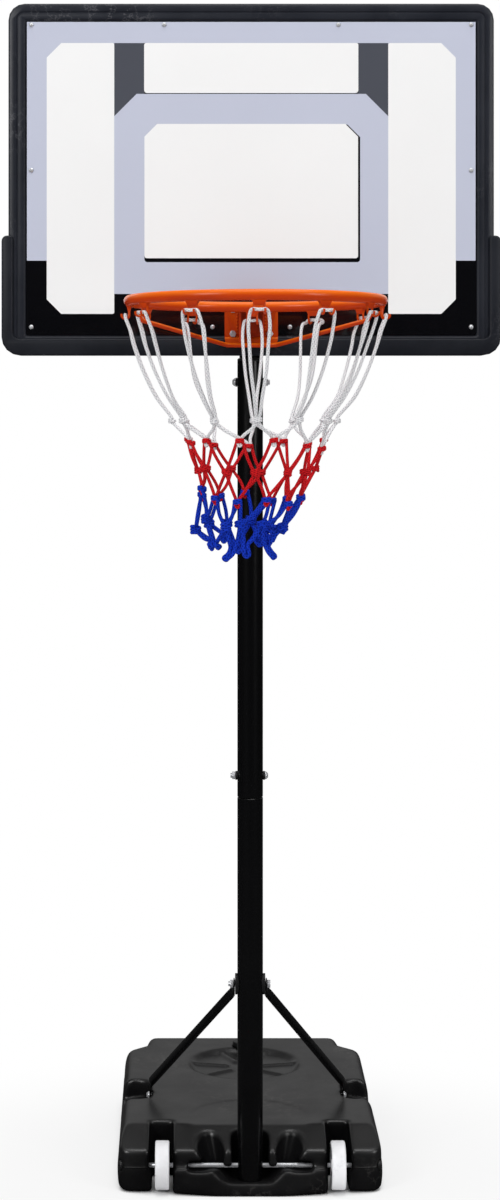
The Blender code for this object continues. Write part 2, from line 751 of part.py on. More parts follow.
def make_poles():
    neck = POLE_RADIUS - POLE_WALL - GAP
    inside = neck - POLE_WALL
    low_inside = POLE_RADIUS - POLE_WALL
    length = LOWER_POLE_LENGTH
    lower = turned(
        [
            (low_inside, 0), (POLE_RADIUS, 0), (POLE_RADIUS, length - 0.0015), (POLE_RADIUS - 0.0012, length),
            (neck, length), (neck, length + NECK_LENGTH), (inside, length + NECK_LENGTH),
            (inside, length - SHOULDER_LENGTH), (low_inside, length - SHOULDER_LENGTH - 0.002),
        ],
        POLE_STEPS,
    )
    pole = add_part("lower_pole", lower, "pole_paint", (0, 0, POLE_FOOT), smooth=30)
    cut(
        pole,
        cross_hole(AXLE_HEIGHT - POLE_FOOT, AXLE_RADIUS),
        cross_hole(STRUT_TOP - POLE_FOOT),
        cross_hole(POLE_BOLT_HEIGHT - POLE_FOOT),
    )
    upper = turned(
        [
            (low_inside, 0), (POLE_RADIUS - 0.0006, 0), (POLE_RADIUS, 0.0010),
            (POLE_RADIUS, UPPER_POLE_LENGTH), (low_inside, UPPER_POLE_LENGTH),
        ],
        POLE_STEPS,
    )
    pole = add_part("upper_pole", upper, "pole_paint", (0, 0, UPPER_POLE_FOOT), smooth=30)
    cut(
        pole,
        cross_hole(POLE_BOLT_HEIGHT - UPPER_POLE_FOOT),
        cross_hole(HEIGHT_BOLT_HEIGHT - UPPER_POLE_FOOT),
    )
    outside = low_inside - GAP
    inside = MAST_RADIUS + GAP * 1.5
    bush = turned(
        [
            (inside, -BUSH_DEPTH), (outside, -BUSH_DEPTH), (outside, GAP), (POLE_RADIUS, GAP),
            (POLE_RADIUS, BUSH_LIP - 0.0025), (POLE_RADIUS - 0.0008, BUSH_LIP - 0.0008),
            (POLE_RADIUS - 0.0025, BUSH_LIP), (inside, BUSH_LIP),
        ],
        POLE_STEPS,
    )
    add_part("pole_bush", bush, "cap_plastic", (0, 0, POLE_TOP), smooth=40)


def saddle_shape(half_width, half_height, wall, side, steps=2):
    """Block with round ends whose inner face fits the pole's side."""
    radius = half_width - 0.0001
    corners = [
        (half_width, -half_height, radius), (half_width, half_height, radius),
        (-half_width, half_height, radius), (-half_width, -half_height, radius),
    ]
    bm = along_x(prism(rounded(corners, steps), POLE_RADIUS * 0.75, POLE_RADIUS + GAP + wall))
    return moved(bm, Matrix.Diagonal((side, 1, 1, 1)))


def make_saddle(name, height, half_width, half_height, wall, side):
    shape = saddle_shape(half_width, half_height, wall, side)
    piece = add_part(name, shape, "cap_plastic", (0, 0, height), smooth=40)
    cut(piece, rod(POLE_RADIUS + GAP, -0.05, 0.05, POLE_STEPS))
    cut(piece, cross_hole(0))


def make_cross_bolt(name, height, grip, side, domed=False):
    """Bolt and nut through the pole; the head is on this side, outside the grip."""
    gripped = grip + GAP
    reach = 2 * gripped + HEAD_HEIGHT + 0.003
    shank = bolt(BOLT_RADIUS, reach, HEAD_RADIUS, HEAD_HEIGHT, domed)
    turn = moved(along_x(shank), Matrix.Diagonal((side, 1, 1, 1)))
    add_part(f"{name}_bolt", turn, "zinc", (side * gripped, 0, height), smooth=30)
    ring = along_x(nut(BOLT_RADIUS + HOLE_GAP, HEAD_RADIUS, HEAD_HEIGHT))
    moved(ring, Matrix.Diagonal((-side, 1, 1, 1)))
    add_part(f"{name}_nut", ring, "zinc", (-side * gripped, 0, height), smooth=30)


def make_pole_bolts():
    grip = POLE_RADIUS + GAP + WASHER_WALL
    for name, height in (("pole", POLE_BOLT_HEIGHT), ("height", HEIGHT_BOLT_HEIGHT)):
        for side, word in ((-1, "left"), (1, "right")):
            make_saddle(f"{name}_washer_{word}", height, WASHER_RADIUS, WASHER_RADIUS, WASHER_WALL, side)
    make_cross_bolt("pole", POLE_BOLT_HEIGHT, grip, 1, domed=True)
    make_cross_bolt("height", HEIGHT_BOLT_HEIGHT, grip, -1, domed=True)


# Struts
def strut_rings(side, top, foot):
    """Flat end, round bar, flat end: each station is a place, half its thickness and half its width."""
    down = Vector((0, foot.y - top.y, foot.z - top.z))
    length = down.length
    down.normalize()
    thin = STRUT_TAB / 2
    wide = STRUT_TAB_HALF
    lean = 0.006
    spread = foot.x - top.x
    stations = [
        (-0.0100, 0, thin, wide * 0.45), (-0.0065, 0, thin, wide * 0.90), (0.0090, 0, thin, wide),
        (0.0180, 0.001, thin * 1.8, wide), (0.0340, lean, STRUT_RADIUS, STRUT_RADIUS),
        (length - 0.0560, spread - lean, STRUT_RADIUS, STRUT_RADIUS),
        (length - 0.0430, spread - 0.0015, thin * 1.8, wide), (length - 0.0340, spread, thin, wide),
        (length + 0.0065, spread, thin, wide * 0.90), (length + 0.0100, spread, thin, wide * 0.45),
    ]
    across = Vector((0, -down.z, down.y))
    rings = []
    for along, out, half_thick, half_wide in stations:
        place = top + down * along
        ring = []
        for x, y in circle(1, 12, math.pi / 12):
            point = place + across * (y * half_wide) + Vector((out + x * half_thick, 0, 0))
            ring.append((side * point.x, point.y, point.z))
        rings.append(ring)
    return rings


def make_struts():
    tab_middle = POLE_RADIUS + GAP + SADDLE_WALL + GAP + STRUT_TAB / 2
    foot_middle = FOOT_WALL + GAP + STRUT_TAB / 2
    top = Vector((tab_middle, 0, STRUT_TOP))
    foot = Vector((foot_middle, FOOT_PLACE, FOOT_HEIGHT))
    for side, word in ((-1, "left"), (1, "right")):
        saddle = (SADDLE_HALF_WIDTH, SADDLE_HALF_HEIGHT, SADDLE_WALL)
        make_saddle(f"strut_saddle_{word}", STRUT_TOP, *saddle, side)
        strut = add_part(f"strut_{word}", skin(strut_rings(side, top, foot)), "pole_paint", smooth=40)
        holes = []
        for middle in (top, foot):
            hole = along_x(bore(BOLT_RADIUS + HOLE_GAP, middle.x - 0.006, middle.x + 0.006))
            holes.append(moved(shifted(hole, y=middle.y, z=middle.z), Matrix.Diagonal((side, 1, 1, 1))))
        cut(strut, *holes)
        head = foot_middle + STRUT_TAB / 2 + GAP
        reach = head - FOOT_WALL + FOOT_BOLT_LENGTH - 0.002
        shank = along_x(bolt(BOLT_RADIUS, reach, HEAD_RADIUS, HEAD_HEIGHT, domed=True))
        shank = moved(shank, Matrix.Diagonal((side, 1, 1, 1)))
        place = (side * head, FOOT_PLACE, FOOT_HEIGHT)
        add_part(f"strut_foot_bolt_{word}", shank, "zinc", place, smooth=30)
    make_cross_bolt("strut_top", STRUT_TOP, tab_middle + STRUT_TAB / 2, 1)


# Mast and its bracket
def make_mast(parent):
    body = tube(MAST_RADIUS, MAST_WALL, 0, MAST_LENGTH)
    mast = add_part("mast_tube", body, "pole_paint", (0, 0, MAST_FOOT), parent, smooth=30)
    pitch = TRAVEL / HOLE_STEPS
    holes = [cross_hole(HEIGHT_BOLT_HEIGHT - MAST_FOOT - i * pitch) for i in range(HOLE_STEPS + 1)]
    holes += [cross_hole(FRAME_FOOT + height - MAST_FOOT) for height in MAST_BOLT_HEIGHTS]
    cut(mast, *holes)
    plug = MAST_RADIUS - MAST_WALL - GAP
    profile = [
        (0, -0.012), (plug - 0.001, -0.012), (plug, -0.010), (plug, GAP), (MAST_RADIUS, GAP),
        (MAST_RADIUS, 0.0030), (MAST_RADIUS - 0.002, 0.0045), (0, 0.0050),
    ]
    cap = turned(profile, POLE_STEPS)
    add_part("mast_cap", cap, "cap_plastic", (0, 0, MAST_FOOT + MAST_LENGTH), parent, smooth=40)


def rim_bolt_places():
    return [(side * RIM_BOLT_SPREAD, row) for row in RIM_BOLT_ROWS for side in (-1, 1)]


def board_hole(x, z, radius):
    """Hole for a bolt through the board from front to back, in the board's frame."""
    return shifted(along_y(bore(radius + HOLE_GAP, -0.02, FRAME_DEPTH + 0.02)), x=x, z=z)


def make_mast_bracket(parent, at):
    """Plate behind the board with two cheeks that hold the mast."""
    front = LEDGE_BACK + GAP
    back = front + BRACKET_STEEL
    axis = -BOARD_FACE
    cheek = MAST_RADIUS + GAP
    plate = add_part(
        "mast_bracket",
        block((-BRACKET_HALF, front, BRACKET_BOTTOM), (BRACKET_HALF, back, BRACKET_TOP)),
        "pole_paint", at, parent,
    )
    slant = 0.014
    outline = [
        (back - 0.001, BRACKET_BOTTOM), (axis - 0.004, BRACKET_BOTTOM),
        (axis + slant, BRACKET_BOTTOM + 0.014),
        (axis + slant, BRACKET_TOP - 0.014), (axis - 0.004, BRACKET_TOP), (back - 0.001, BRACKET_TOP),
    ]
    cheeks = [
        moved(along_x(prism(outline, cheek, cheek + BRACKET_STEEL)), Matrix.Diagonal((side, 1, 1, 1)))
        for side in (-1, 1)
    ]
    fuse(plate, *cheeks)
    holes = [shifted(cross_hole(height), y=axis) for height in MAST_BOLT_HEIGHTS]
    holes += [board_hole(x, z, RIM_BOLT_RADIUS) for x, z in rim_bolt_places()]
    cut(plate, *holes, crossing=False)
    grip = cheek + BRACKET_STEEL + GAP
    for word, height in zip(("low", "high"), MAST_BOLT_HEIGHTS):
        shank = along_x(bolt(BOLT_RADIUS, 2 * grip + HEAD_HEIGHT + 0.003, HEAD_RADIUS, HEAD_HEIGHT))
        add_part(f"mast_bolt_{word}", shank, "zinc", (grip, 0, FRAME_FOOT + height), parent, smooth=30)
        ring = along_x(nut(BOLT_RADIUS + HOLE_GAP, HEAD_RADIUS, HEAD_HEIGHT))
        moved(ring, Matrix.Diagonal((-1, 1, 1, 1)))
        add_part(f"mast_nut_{word}", ring, "zinc", (-grip, 0, FRAME_FOOT + height), parent, smooth=30)


# Board, in its own frame: x across, y back from the face, z up from the bottom of the frame
def frame_ring(depth_in, back):
    corner = max(FRAME_CORNER - depth_in, 0.004)
    outline = rounded_box(FRAME_WIDTH / 2 - depth_in, depth_in, FRAME_HEIGHT - depth_in, corner)
    return [(x, back, z) for x, z in outline]


def make_frame(parent, at):
    band = FRAME_BAND - GAP
    wall = FRAME_WALL
    face = wall + 0.0005
    ledge = FRAME_BAND + LEDGE_WIDTH
    section = [
        (0, FRAME_DEPTH), (0, 0.0045), (0.0014, 0.0014), (0.0045, 0), (0.0130, 0), (0.0138, 0.0012),
        (0.0156, 0.0012), (0.0164, 0), (band - 0.0030, 0), (band - 0.0016, 0.0014), (band, 0.0014),
        (band, LEDGE_FRONT), (ledge, LEDGE_FRONT), (ledge, LEDGE_BACK), (band + 0.0013, LEDGE_BACK),
        (band + 0.0013, FRAME_DEPTH), (band - 0.0032, FRAME_DEPTH), (band - 0.0032, face), (wall, face),
        (wall, FRAME_DEPTH),
    ]
    rings = [frame_ring(depth_in, back) for depth_in, back in section]
    frame = add_part("backboard_frame", skin(rings, closed=True), "frame_plastic", at, parent, smooth=35)
    low = FRAME_BAND + LEDGE_WIDTH - 0.010
    fuse(frame, block((-TAB_HALF, LEDGE_FRONT + 0.0002, low), (TAB_HALF, LEDGE_BACK - 0.0002, TAB_TOP)))
    notch_half = BRACKET_HALF + 0.006
    notch_low = (-notch_half, LEDGE_BACK + 0.0001, BRACKET_BOTTOM - 0.002)
    cut(frame, block(notch_low, (notch_half, 0.05, FRAME_BAND + 0.004)))
    holes = [board_hole(x, z, SCREW_RADIUS) for x, z in sheet_screw_places()]
    holes += [board_hole(x, z, RIM_BOLT_RADIUS) for x, z in rim_bolt_places()]
    cut(frame, *holes)


def sheet_screw_places():
    edge = FRAME_BAND + CORNER_SCREW_INSET
    side = FRAME_WIDTH / 2 - edge
    top = FRAME_HEIGHT - edge + 0.0025
    bottom = edge + 0.005
    right = [
        (side, top), (side, bottom), (TOP_SCREW, top), (side, SIDE_SCREW_HEIGHT), (BOTTOM_SCREW, bottom),
    ]
    return [(sign * x, z) for x, z in right for sign in (-1, 1)]


def make_sheet(parent, at):
    edge = FRAME_BAND + GAP
    outline = rounded_box(FRAME_WIDTH / 2 - edge, edge, FRAME_HEIGHT - edge, SHEET_CORNER, 3)
    front = GAP
    rings = [[(x, back, z) for x, z in outline] for back in (front, front + SHEET_WALL)]
    sheet = add_part("board_sheet", skin(rings), "sheet_print", at, parent)
    holes = [board_hole(x, z, SCREW_RADIUS) for x, z in sheet_screw_places()]
    holes += [board_hole(x, z, RIM_BOLT_RADIUS) for x, z in rim_bolt_places()]
    cut(sheet, *holes)
    for i, (x, z) in enumerate(sheet_screw_places()):
        shank = moved(
            bolt(SCREW_RADIUS, LEDGE_BACK - 0.0010, SCREW_HEAD_RADIUS, SCREW_HEAD_HEIGHT, True, 7),
            Matrix.Rotation(math.radians(90), 4, "X"),
        )
        place = Vector(at) + Vector((x, 0, z))
        add_part(f"sheet_screw_{i + 1}", shank, "zinc", place, parent, smooth=40)


def make_pad(parent, at):
    """U-shaped pad that clips over the lower part of the frame."""
    half = FRAME_WIDTH / 2
    inner = half - PAD_OVER_SIDE
    outline = rounded(
        [
            (half + PAD_SIDE, -PAD_BELOW, 0.030), (half + PAD_SIDE, PAD_TOP, 0.009),
            (inner, PAD_TOP, 0.006), (inner, PAD_OVER_BOTTOM, 0.010),
            (-inner, PAD_OVER_BOTTOM, 0.010), (-inner, PAD_TOP, 0.006),
            (-half - PAD_SIDE, PAD_TOP, 0.009), (-half - PAD_SIDE, -PAD_BELOW, 0.030),
        ],
    )
    levels = [(-PAD_LIP, 0.0028), (-PAD_LIP + 0.0008, 0.0010), (-PAD_LIP + 0.0028, 0.0)]
    levels += [(FRAME_DEPTH + PAD_BACK_LIP - 0.0015, 0.0), (FRAME_DEPTH + PAD_BACK_LIP, 0.0015)]
    rings = [[(x, back, z) for x, z in inset(outline, depth)] for back, depth in levels]
    pad = add_part("edge_pad", skin(rings), "pad_rubber", at, parent, smooth=35)
    hollow = rounded_box(half + GAP, -GAP, FRAME_HEIGHT, FRAME_CORNER + GAP)
    cut(pad, skin([[(x, back, z) for x, z in hollow] for back in (-GAP, FRAME_DEPTH + GAP)]))


# Rim
def make_rim_bracket(parent, at):
    """Plate on the board, two gussets and a top flange that reach the ring."""
    front = -GAP - RIM_STEEL
    reach = -RIM_STANDOFF + GAP
    plate = add_part(
        "rim_bracket",
        block((-RIM_PLATE_HALF, front, RIM_PLATE_BOTTOM), (RIM_PLATE_HALF, -GAP, RIM_PLATE_TOP)),
        "rim_paint", at, parent,
    )
    rod_top = BRACE_HEIGHT + BRACE_RADIUS + GAP
    top = RIM_PLATE_TOP - 0.0002
    low_front = RING_HEIGHT - RING_TUBE + 0.0005
    gusset = [
        (-GAP - 0.001, RIM_PLATE_BOTTOM + 0.0002), (-PAD_LIP - 0.0010, RIM_PLATE_BOTTOM + 0.0002),
        (-BRACE_OUT + 0.006, rod_top), (-BRACE_OUT - 0.006, rod_top),
        (reach, low_front), (reach, top), (-GAP - 0.001, top),
    ]
    shapes = []
    for side in (-1, 1):
        sheet = along_x(prism(gusset, GUSSET_SPREAD - RIM_STEEL, GUSSET_SPREAD))
        shapes.append(moved(sheet, Matrix.Diagonal((side, 1, 1, 1))))
    flange = [
        (-RIM_PLATE_HALF + 0.0002, -GAP - 0.001), (-GUSSET_SPREAD - 0.002, reach - 0.0002),
        (GUSSET_SPREAD + 0.002, reach - 0.0002), (RIM_PLATE_HALF - 0.0002, -GAP - 0.001),
    ]
    fuse(plate, *shapes)
    fuse(plate, prism(flange, RIM_PLATE_TOP - RIM_STEEL, RIM_PLATE_TOP - 0.0004))
    cut(plate, *[board_hole(x, z, RIM_BOLT_RADIUS) for x, z in rim_bolt_places()])


def make_rim_bolts(parent, at):
    head = -GAP - RIM_STEEL - GAP
    back = LEDGE_BACK + GAP + BRACKET_STEEL + GAP
    forward = Matrix.Rotation(math.radians(90), 4, "X")
    backward = Matrix.Rotation(math.radians(-90), 4, "X")
    for i, (x, z) in enumerate(rim_bolt_places()):
        reach = back - head + RIM_HEAD_HEIGHT + 0.002
        shank = moved(bolt(RIM_BOLT_RADIUS, reach, RIM_HEAD_RADIUS, RIM_HEAD_HEIGHT), forward)
        add_part(f"rim_bolt_{i + 1}", shank, "zinc", Vector(at) + Vector((x, head, z)), parent, smooth=30)
        ring = moved(nut(RIM_BOLT_RADIUS + HOLE_GAP, RIM_HEAD_RADIUS, RIM_HEAD_HEIGHT), backward)
        add_part(f"rim_nut_{i + 1}", ring, "zinc", Vector(at) + Vector((x, back, z)), parent, smooth=30)


def hook_shapes():
    """Plate under the ring with two wire curls that open upwards, outside the ring's middle line."""
    plate_low = RING_TUBE + 0.0075
    rings = []
    for drop, half_wide, half_deep in ((RING_TUBE - 0.003, 0.0125, 0.0042), (plate_low, 0.0105, 0.0026)):
        rings.append([
            (RING_RADIUS - half_deep, -half_wide, -drop), (RING_RADIUS + half_deep, -half_wide, -drop),
            (RING_RADIUS + half_deep, half_wide, -drop), (RING_RADIUS - half_deep, half_wide, -drop),
        ])
    shapes = [skin(rings)]
    for side in (-1, 1):
        path = [Vector((RING_RADIUS, side * HOOK_SPREAD, -plate_low + 0.003))]
        for i in range(4):
            angle = math.pi + math.pi * 1.08 * i / 3
            path.append(Vector((
                RING_RADIUS + HOOK_CURL + HOOK_CURL * math.cos(angle),
                side * (HOOK_SPREAD + 0.0003 * i),
                -HOOK_DROP + HOOK_CURL * math.sin(angle),
            )))
        shapes.append(sweep(path, HOOK_WIRE, 4))
    return shapes


def make_ring(parent):
    bm = bmesh.new()
    bmesh.ops.create_circle(bm, segments=8, radius=RING_TUBE)
    moved(bm, Matrix.Translation((RING_RADIUS, 0, 0)) @ Matrix.Rotation(math.radians(90), 4, "X"))
    bmesh.ops.spin(
        bm, geom=[*bm.verts, *bm.edges], cent=(0, 0, 0), axis=(0, 0, 1),
        angle=2 * math.pi, steps=48, use_merge=True,
    )
    ring = add_part("rim_ring", bm, "rim_paint", RING_MIDDLE, parent, smooth=50)
    hooks = []
    for i in range(HOOKS):
        turn = Matrix.Rotation(hook_angle(i), 4, "Z")
        hooks += [moved(shape, turn) for shape in hook_shapes()]
    fuse(ring, *hooks, crossing=True)


def hook_angle(index):
    """Angle of a hook, or of the gap after it at a half index, starting at the front of the ring."""
    return -math.pi / 2 + 2 * math.pi * index / HOOKS


def make_brace(parent, at):
    """Bent rod from one side of the ring, under the bracket, to the other side."""
    low = Vector(at) + Vector((0, -BRACE_OUT, BRACE_HEIGHT)) - RING_MIDDLE
    end_height = -RING_TUBE - BRACE_RADIUS - GAP
    angle = BRACE_END_ANGLE
    end = Vector((RING_RADIUS * math.cos(angle), RING_RADIUS * math.sin(angle), end_height))
    flat = low + Vector((BRACE_HALF_FLAT, 0, 0))
    knee = end + Vector((-0.006, 0.008, -0.0145))
    bend = 0.012
    arm = (knee - flat).normalized()
    half = [
        low + Vector((0.004, 0, 0)), flat - Vector((bend, 0, 0)), flat + Vector((0.001, -0.001, 0.0006)),
        flat + arm * bend, knee - arm * 0.010, knee, (knee + end) / 2 + Vector((0.0016, -0.002, 0)), end,
    ]
    other = [Vector((-point.x, point.y, point.z)) for point in reversed(half)]
    curve = bpy.data.curves.new("rim_brace", "CURVE")
    curve.dimensions = "3D"
    curve.bevel_depth = BRACE_RADIUS
    curve.bevel_resolution = 2
    curve.use_fill_caps = True
    line = curve.splines.new("POLY")
    path = other + half
    line.points.add(len(path) - 1)
    for spot, point in zip(line.points, path):
        spot.co = (*point, 1)
    line.use_smooth = True
    curve.materials.append(MATERIALS["rim_paint"])
    brace = bpy.data.objects.new("rim_brace", curve)
    bpy.context.scene.collection.objects.link(brace)
    brace.location = RING_MIDDLE
    brace.parent = parent


# Net, in the ring's frame
def row_point(row, index):
    drop, radius = row
    angle = hook_angle(index)
    share = min(max((drop - LEAN_FROM) / (LEAN_TO - LEAN_FROM), 0), 1)
    return Vector((radius * math.cos(angle) - NET_LEAN * share, radius * math.sin(angle), -drop))


def zigzag(high, low, start, bulge=0.0):
    """One closed cord that runs between the points of a high row and a low row."""
    path = []
    for i in range(HOOKS):
        top = row_point(high, start + i)
        bottom = row_point(low, start + i + 0.5)
        after = row_point(high, start + i + 1)
        path += [top, bottom]
        if bulge:
            outward = Vector((bottom.x, bottom.y, -bulge)).normalized() * bulge
            path[-1:] = [(top + bottom) / 2 + outward, bottom, (bottom + after) / 2 + outward]
    return sweep(path, CORD_RADIUS, CORD_SIDES, closed=True)


def knot(row, index):
    bm = bmesh.new()
    bmesh.ops.create_uvsphere(bm, u_segments=4, v_segments=2, radius=KNOT_RADIUS)
    moved(bm, Matrix.Rotation(hook_angle(index), 4, "Z"))
    return shifted(bm, *row_point(row, index))


def hook_loop(index):
    """Cord from a knot up through both curls of a hook and back down, inside the brace where it runs close."""
    drop = HOOK_DROP + HOOK_CURL - HOOK_WIRE - CORD_RADIUS - 2 * GAP
    out = RING_RADIUS + HOOK_CURL
    beside_brace = index in (HOOKS // 2 - 1, HOOKS // 2 + 1)
    side = [Vector((out, HOOK_SPREAD + 0.0030, -drop + 0.0002))]
    if beside_brace:
        side.append(Vector((out - 0.0006, HOOK_SPREAD + 0.0060, -drop - 0.0037)))
        side.append(Vector((out - 0.0180, HOOK_SPREAD + 0.0060, -drop - 0.0150)))
    else:
        side.append(Vector((out - 0.0015, HOOK_SPREAD + 0.0062, -drop - 0.0080)))
        side.append(Vector((out - 0.0148, HOOK_SPREAD + 0.0060, -drop - 0.0227)))
    side.append(Vector((RING_RADIUS - LEG_INWARD, HOOK_SPREAD, -LEG_DROP)))
    side.append(Vector((ROW_KNOT[1] + 0.0005, 0.0018, -ROW_KNOT[0])))
    other = [Vector((point.x, -point.y, point.z)) for point in reversed(side)]
    turn = Matrix.Rotation(hook_angle(index), 4, "Z")
    return moved(sweep(other + side, CORD_RADIUS, CORD_SIDES), turn)


def cord_part(colour, row, tip_row, start, parent):
    """The named cord of one colour: its first zigzag, which the rest is joined to."""
    body = zigzag(row, tip_row, start)
    return add_part(f"net_{colour}", body, f"{colour}_cord", RING_MIDDLE, parent, smooth=50)


def make_net(parent):
    white = cord_part("white", ROW_KNOT, ROW_WHITE_TIP, 0, parent)
    knots = [knot(ROW_KNOT, i) for i in range(HOOKS)]
    fuse(white, *[hook_loop(i) for i in range(HOOKS)], *knots, crossing=True)
    red = cord_part("red", ROW_RED_TOP, ROW_RED_MID, 0.5, parent)
    knots = [knot(ROW_RED_MID, i) for i in range(HOOKS)]
    fuse(red, zigzag(ROW_RED_MID, ROW_RED_TIP, 0), *knots, crossing=True)
    blue = cord_part("blue", ROW_BLUE_TOP, ROW_BLUE_MID, 0.5, parent)
    knots = [knot(ROW_BLUE_MID, i) for i in range(HOOKS)]
    fuse(blue, zigzag(ROW_BLUE_MID, ROW_BLUE_TIP, 0, SCALLOP_BULGE), *knots, crossing=True)


clear_scene()
MATERIALS = {name: finish(name, *look) for name, look in FINISHES.items()}

carriage = add_empty("height_slide")
cap_lift = add_empty("cap_lift", (0, CAP_PLACE, TANK_HEIGHT))
board_place = (0, BOARD_FACE, FRAME_FOOT)

make_tank()
make_fill_cap(cap_lift)
make_wheel("wheel_left", -1)
make_wheel("wheel_right", 1)
make_axle()
make_poles()
make_pole_bolts()
make_struts()
make_mast(carriage)
make_mast_bracket(carriage, board_place)
make_frame(carriage, board_place)
make_sheet(carriage, board_place)
make_pad(carriage, board_place)
make_rim_bracket(carriage, board_place)
make_rim_bolts(carriage, board_place)
make_ring(carriage)
make_brace(carriage, board_place)
make_net(carriage)
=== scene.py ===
import json
import math
import random

import bmesh
import bpy
from mathutils import Matrix, Vector

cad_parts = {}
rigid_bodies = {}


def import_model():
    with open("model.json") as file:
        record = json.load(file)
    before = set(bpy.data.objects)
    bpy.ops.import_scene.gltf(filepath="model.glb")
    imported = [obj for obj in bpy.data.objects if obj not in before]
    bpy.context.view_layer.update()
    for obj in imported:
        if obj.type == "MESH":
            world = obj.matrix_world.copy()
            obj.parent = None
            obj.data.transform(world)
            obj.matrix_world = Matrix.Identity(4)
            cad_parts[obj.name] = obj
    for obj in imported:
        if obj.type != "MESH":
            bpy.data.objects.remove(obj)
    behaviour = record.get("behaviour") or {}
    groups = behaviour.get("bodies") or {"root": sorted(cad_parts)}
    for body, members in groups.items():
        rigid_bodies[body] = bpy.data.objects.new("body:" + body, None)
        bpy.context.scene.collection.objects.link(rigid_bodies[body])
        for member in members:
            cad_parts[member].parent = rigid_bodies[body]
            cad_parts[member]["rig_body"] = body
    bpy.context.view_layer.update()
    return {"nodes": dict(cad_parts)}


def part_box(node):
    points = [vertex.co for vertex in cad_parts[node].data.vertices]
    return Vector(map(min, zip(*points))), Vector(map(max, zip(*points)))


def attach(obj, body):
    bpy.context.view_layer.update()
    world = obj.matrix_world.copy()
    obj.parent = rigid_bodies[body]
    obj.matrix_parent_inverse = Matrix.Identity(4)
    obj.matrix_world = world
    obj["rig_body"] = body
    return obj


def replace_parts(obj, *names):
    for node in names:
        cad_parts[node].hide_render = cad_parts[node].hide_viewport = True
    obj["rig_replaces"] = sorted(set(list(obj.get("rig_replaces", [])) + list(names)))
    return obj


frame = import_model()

chance = random.Random(12)
NODES = frame["nodes"]

# Places that the CAD nodes give
BOARD_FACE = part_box("backboard_frame")[0].y
SHEET_LOW, SHEET_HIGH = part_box("board_sheet")
RING_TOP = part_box("rim_ring")[1].z

# Ring
CAD_RING_TUBE = 0.008  # radius of the CAD ring's bar
RING_TUBE = 0.0084
RING_RADIUS = 0.195
RING_OUT = 0.260  # from the board's face to the ring's middle
RING_MIDDLE = Vector((0, BOARD_FACE - RING_OUT, RING_TOP - CAD_RING_TUBE))

# Tank: height of its seam, rise of its sloped front, and the front's height over the axle
TANK_SEAM = 0.0425
FRONT_SLOPE, FRONT_TOP = 0.342, 0.0745
TANK_VOXEL = 0.0024
TANK_SMOOTHING = 32
TANK_FACES_KEPT = 0.30

# Hooks of the rim
HOOKS = 12
HOOK_WIRE = 0.0017
HOOK_SPREAD = 0.0078
HOOK_CURL = 0.0058
HOOK_DROP = 0.0215
HOOK_TURN = 1.08 * math.pi  # how far a hook's wire turns
HOOK_POINTS = 6

# Net: height of each row below the ring's middle, and its radius
ROW_KNOT = (0.185, 0.127)
ROW_WHITE_TIP = (0.2075, 0.106)
ROW_RED_MID = (0.260, 0.090)
ROW_RED_TIP = (0.299, 0.078)
ROW_BLUE_MID = (0.344, 0.064)
ROW_BLUE_TIP = (0.392, 0.054)
BACK_TWIST = math.radians(13)  # how far the net's back has turned against its front
BACK_SAG = 0.006
WHITE_CORD = 0.0026
RED_CORD = 0.0025
BLUE_CORD = 0.0029
BLUE_END_CORD = 0.0035
NET_LEAN, LEAN_FROM, LEAN_TO = 0.022, 0.200, 0.360

# How much lower than the others a tip of the white cord or of the red cord hangs
WHITE_SAG = {0: -0.002, 1: 0.007, 2: 0.012, 5: -0.002, 6: 0.005, 10: 0.002}
RED_SAG = {0: 0.005, 1: 0.010, 2: 0.003, 5: 0.003, 6: -0.005, 9: -0.010, 10: 0.005, 11: 0.009}
# How a low end of the blue cord hangs: place aside, drop, lean of its end, length of the doubled end
BLUE_ENDS = {
    0: (-0.007, 0.391, 0.002, 0.018), 1: (0.010, 0.394, 0.010, 0.019), 2: (-0.004, 0.352, 0.010, 0.008),
    9: (0.004, 0.379, -0.003, 0.010), 10: (0.002, 0.379, 0.004, 0.010), 11: (-0.010, 0.396, -0.010, 0.019),
}

# Print on the sheet: half widths of the inner panel and of the band round it, top of the panels
INNER_HALF = 0.177
BAND_HALF = 0.2264
PANEL_TOP = 1.9186
BARE_EDGE = 0.0015  # black edge round the print
FILM = 0.00008  # step from one printed layer to the next

SHARP_ANGLE = math.radians(38)  # edges that are sharper than this are broken


# Shader groups
def new_group(name, inputs, outputs):
    group = bpy.data.node_groups.new(name, "ShaderNodeTree")
    for label, value in inputs:
        socket = group.interface.new_socket(label, in_out="INPUT", socket_type="NodeSocketFloat")
        socket.default_value = value
    for label in outputs:
        group.interface.new_socket(label, in_out="OUTPUT", socket_type="NodeSocketFloat")
    start = group.nodes.new("NodeGroupInput")
    end = group.nodes.new("NodeGroupOutput")
    return group, start, end


def math_node(tree, operation, *values, clamp=False):
    node = tree.nodes.new("ShaderNodeMath")
    node.operation = operation
    node.use_clamp = clamp
    for socket, value in zip(node.inputs, values):
        if isinstance(value, (int, float)):
            socket.default_value = value
        else:
            tree.links.new(value, socket)
    return node.outputs[0]


def noise(tree, scale, detail=3.0, roughness=0.5, where=None):
    """Noise over Object coordinates; scale is a number or a socket."""
    node = tree.nodes.new("ShaderNodeTexNoise")
    node.inputs["Detail"].default_value = detail
    node.inputs["Roughness"].default_value = roughness
    if isinstance(scale, (int, float)):
        node.inputs["Scale"].default_value = scale
    else:
        tree.links.new(scale, node.inputs["Scale"])
    if where is None:
        where = tree.nodes.new("ShaderNodeTexCoord").outputs["Object"]
    tree.links.new(where, node.inputs["Vector"])
    return node.outputs["Fac"]


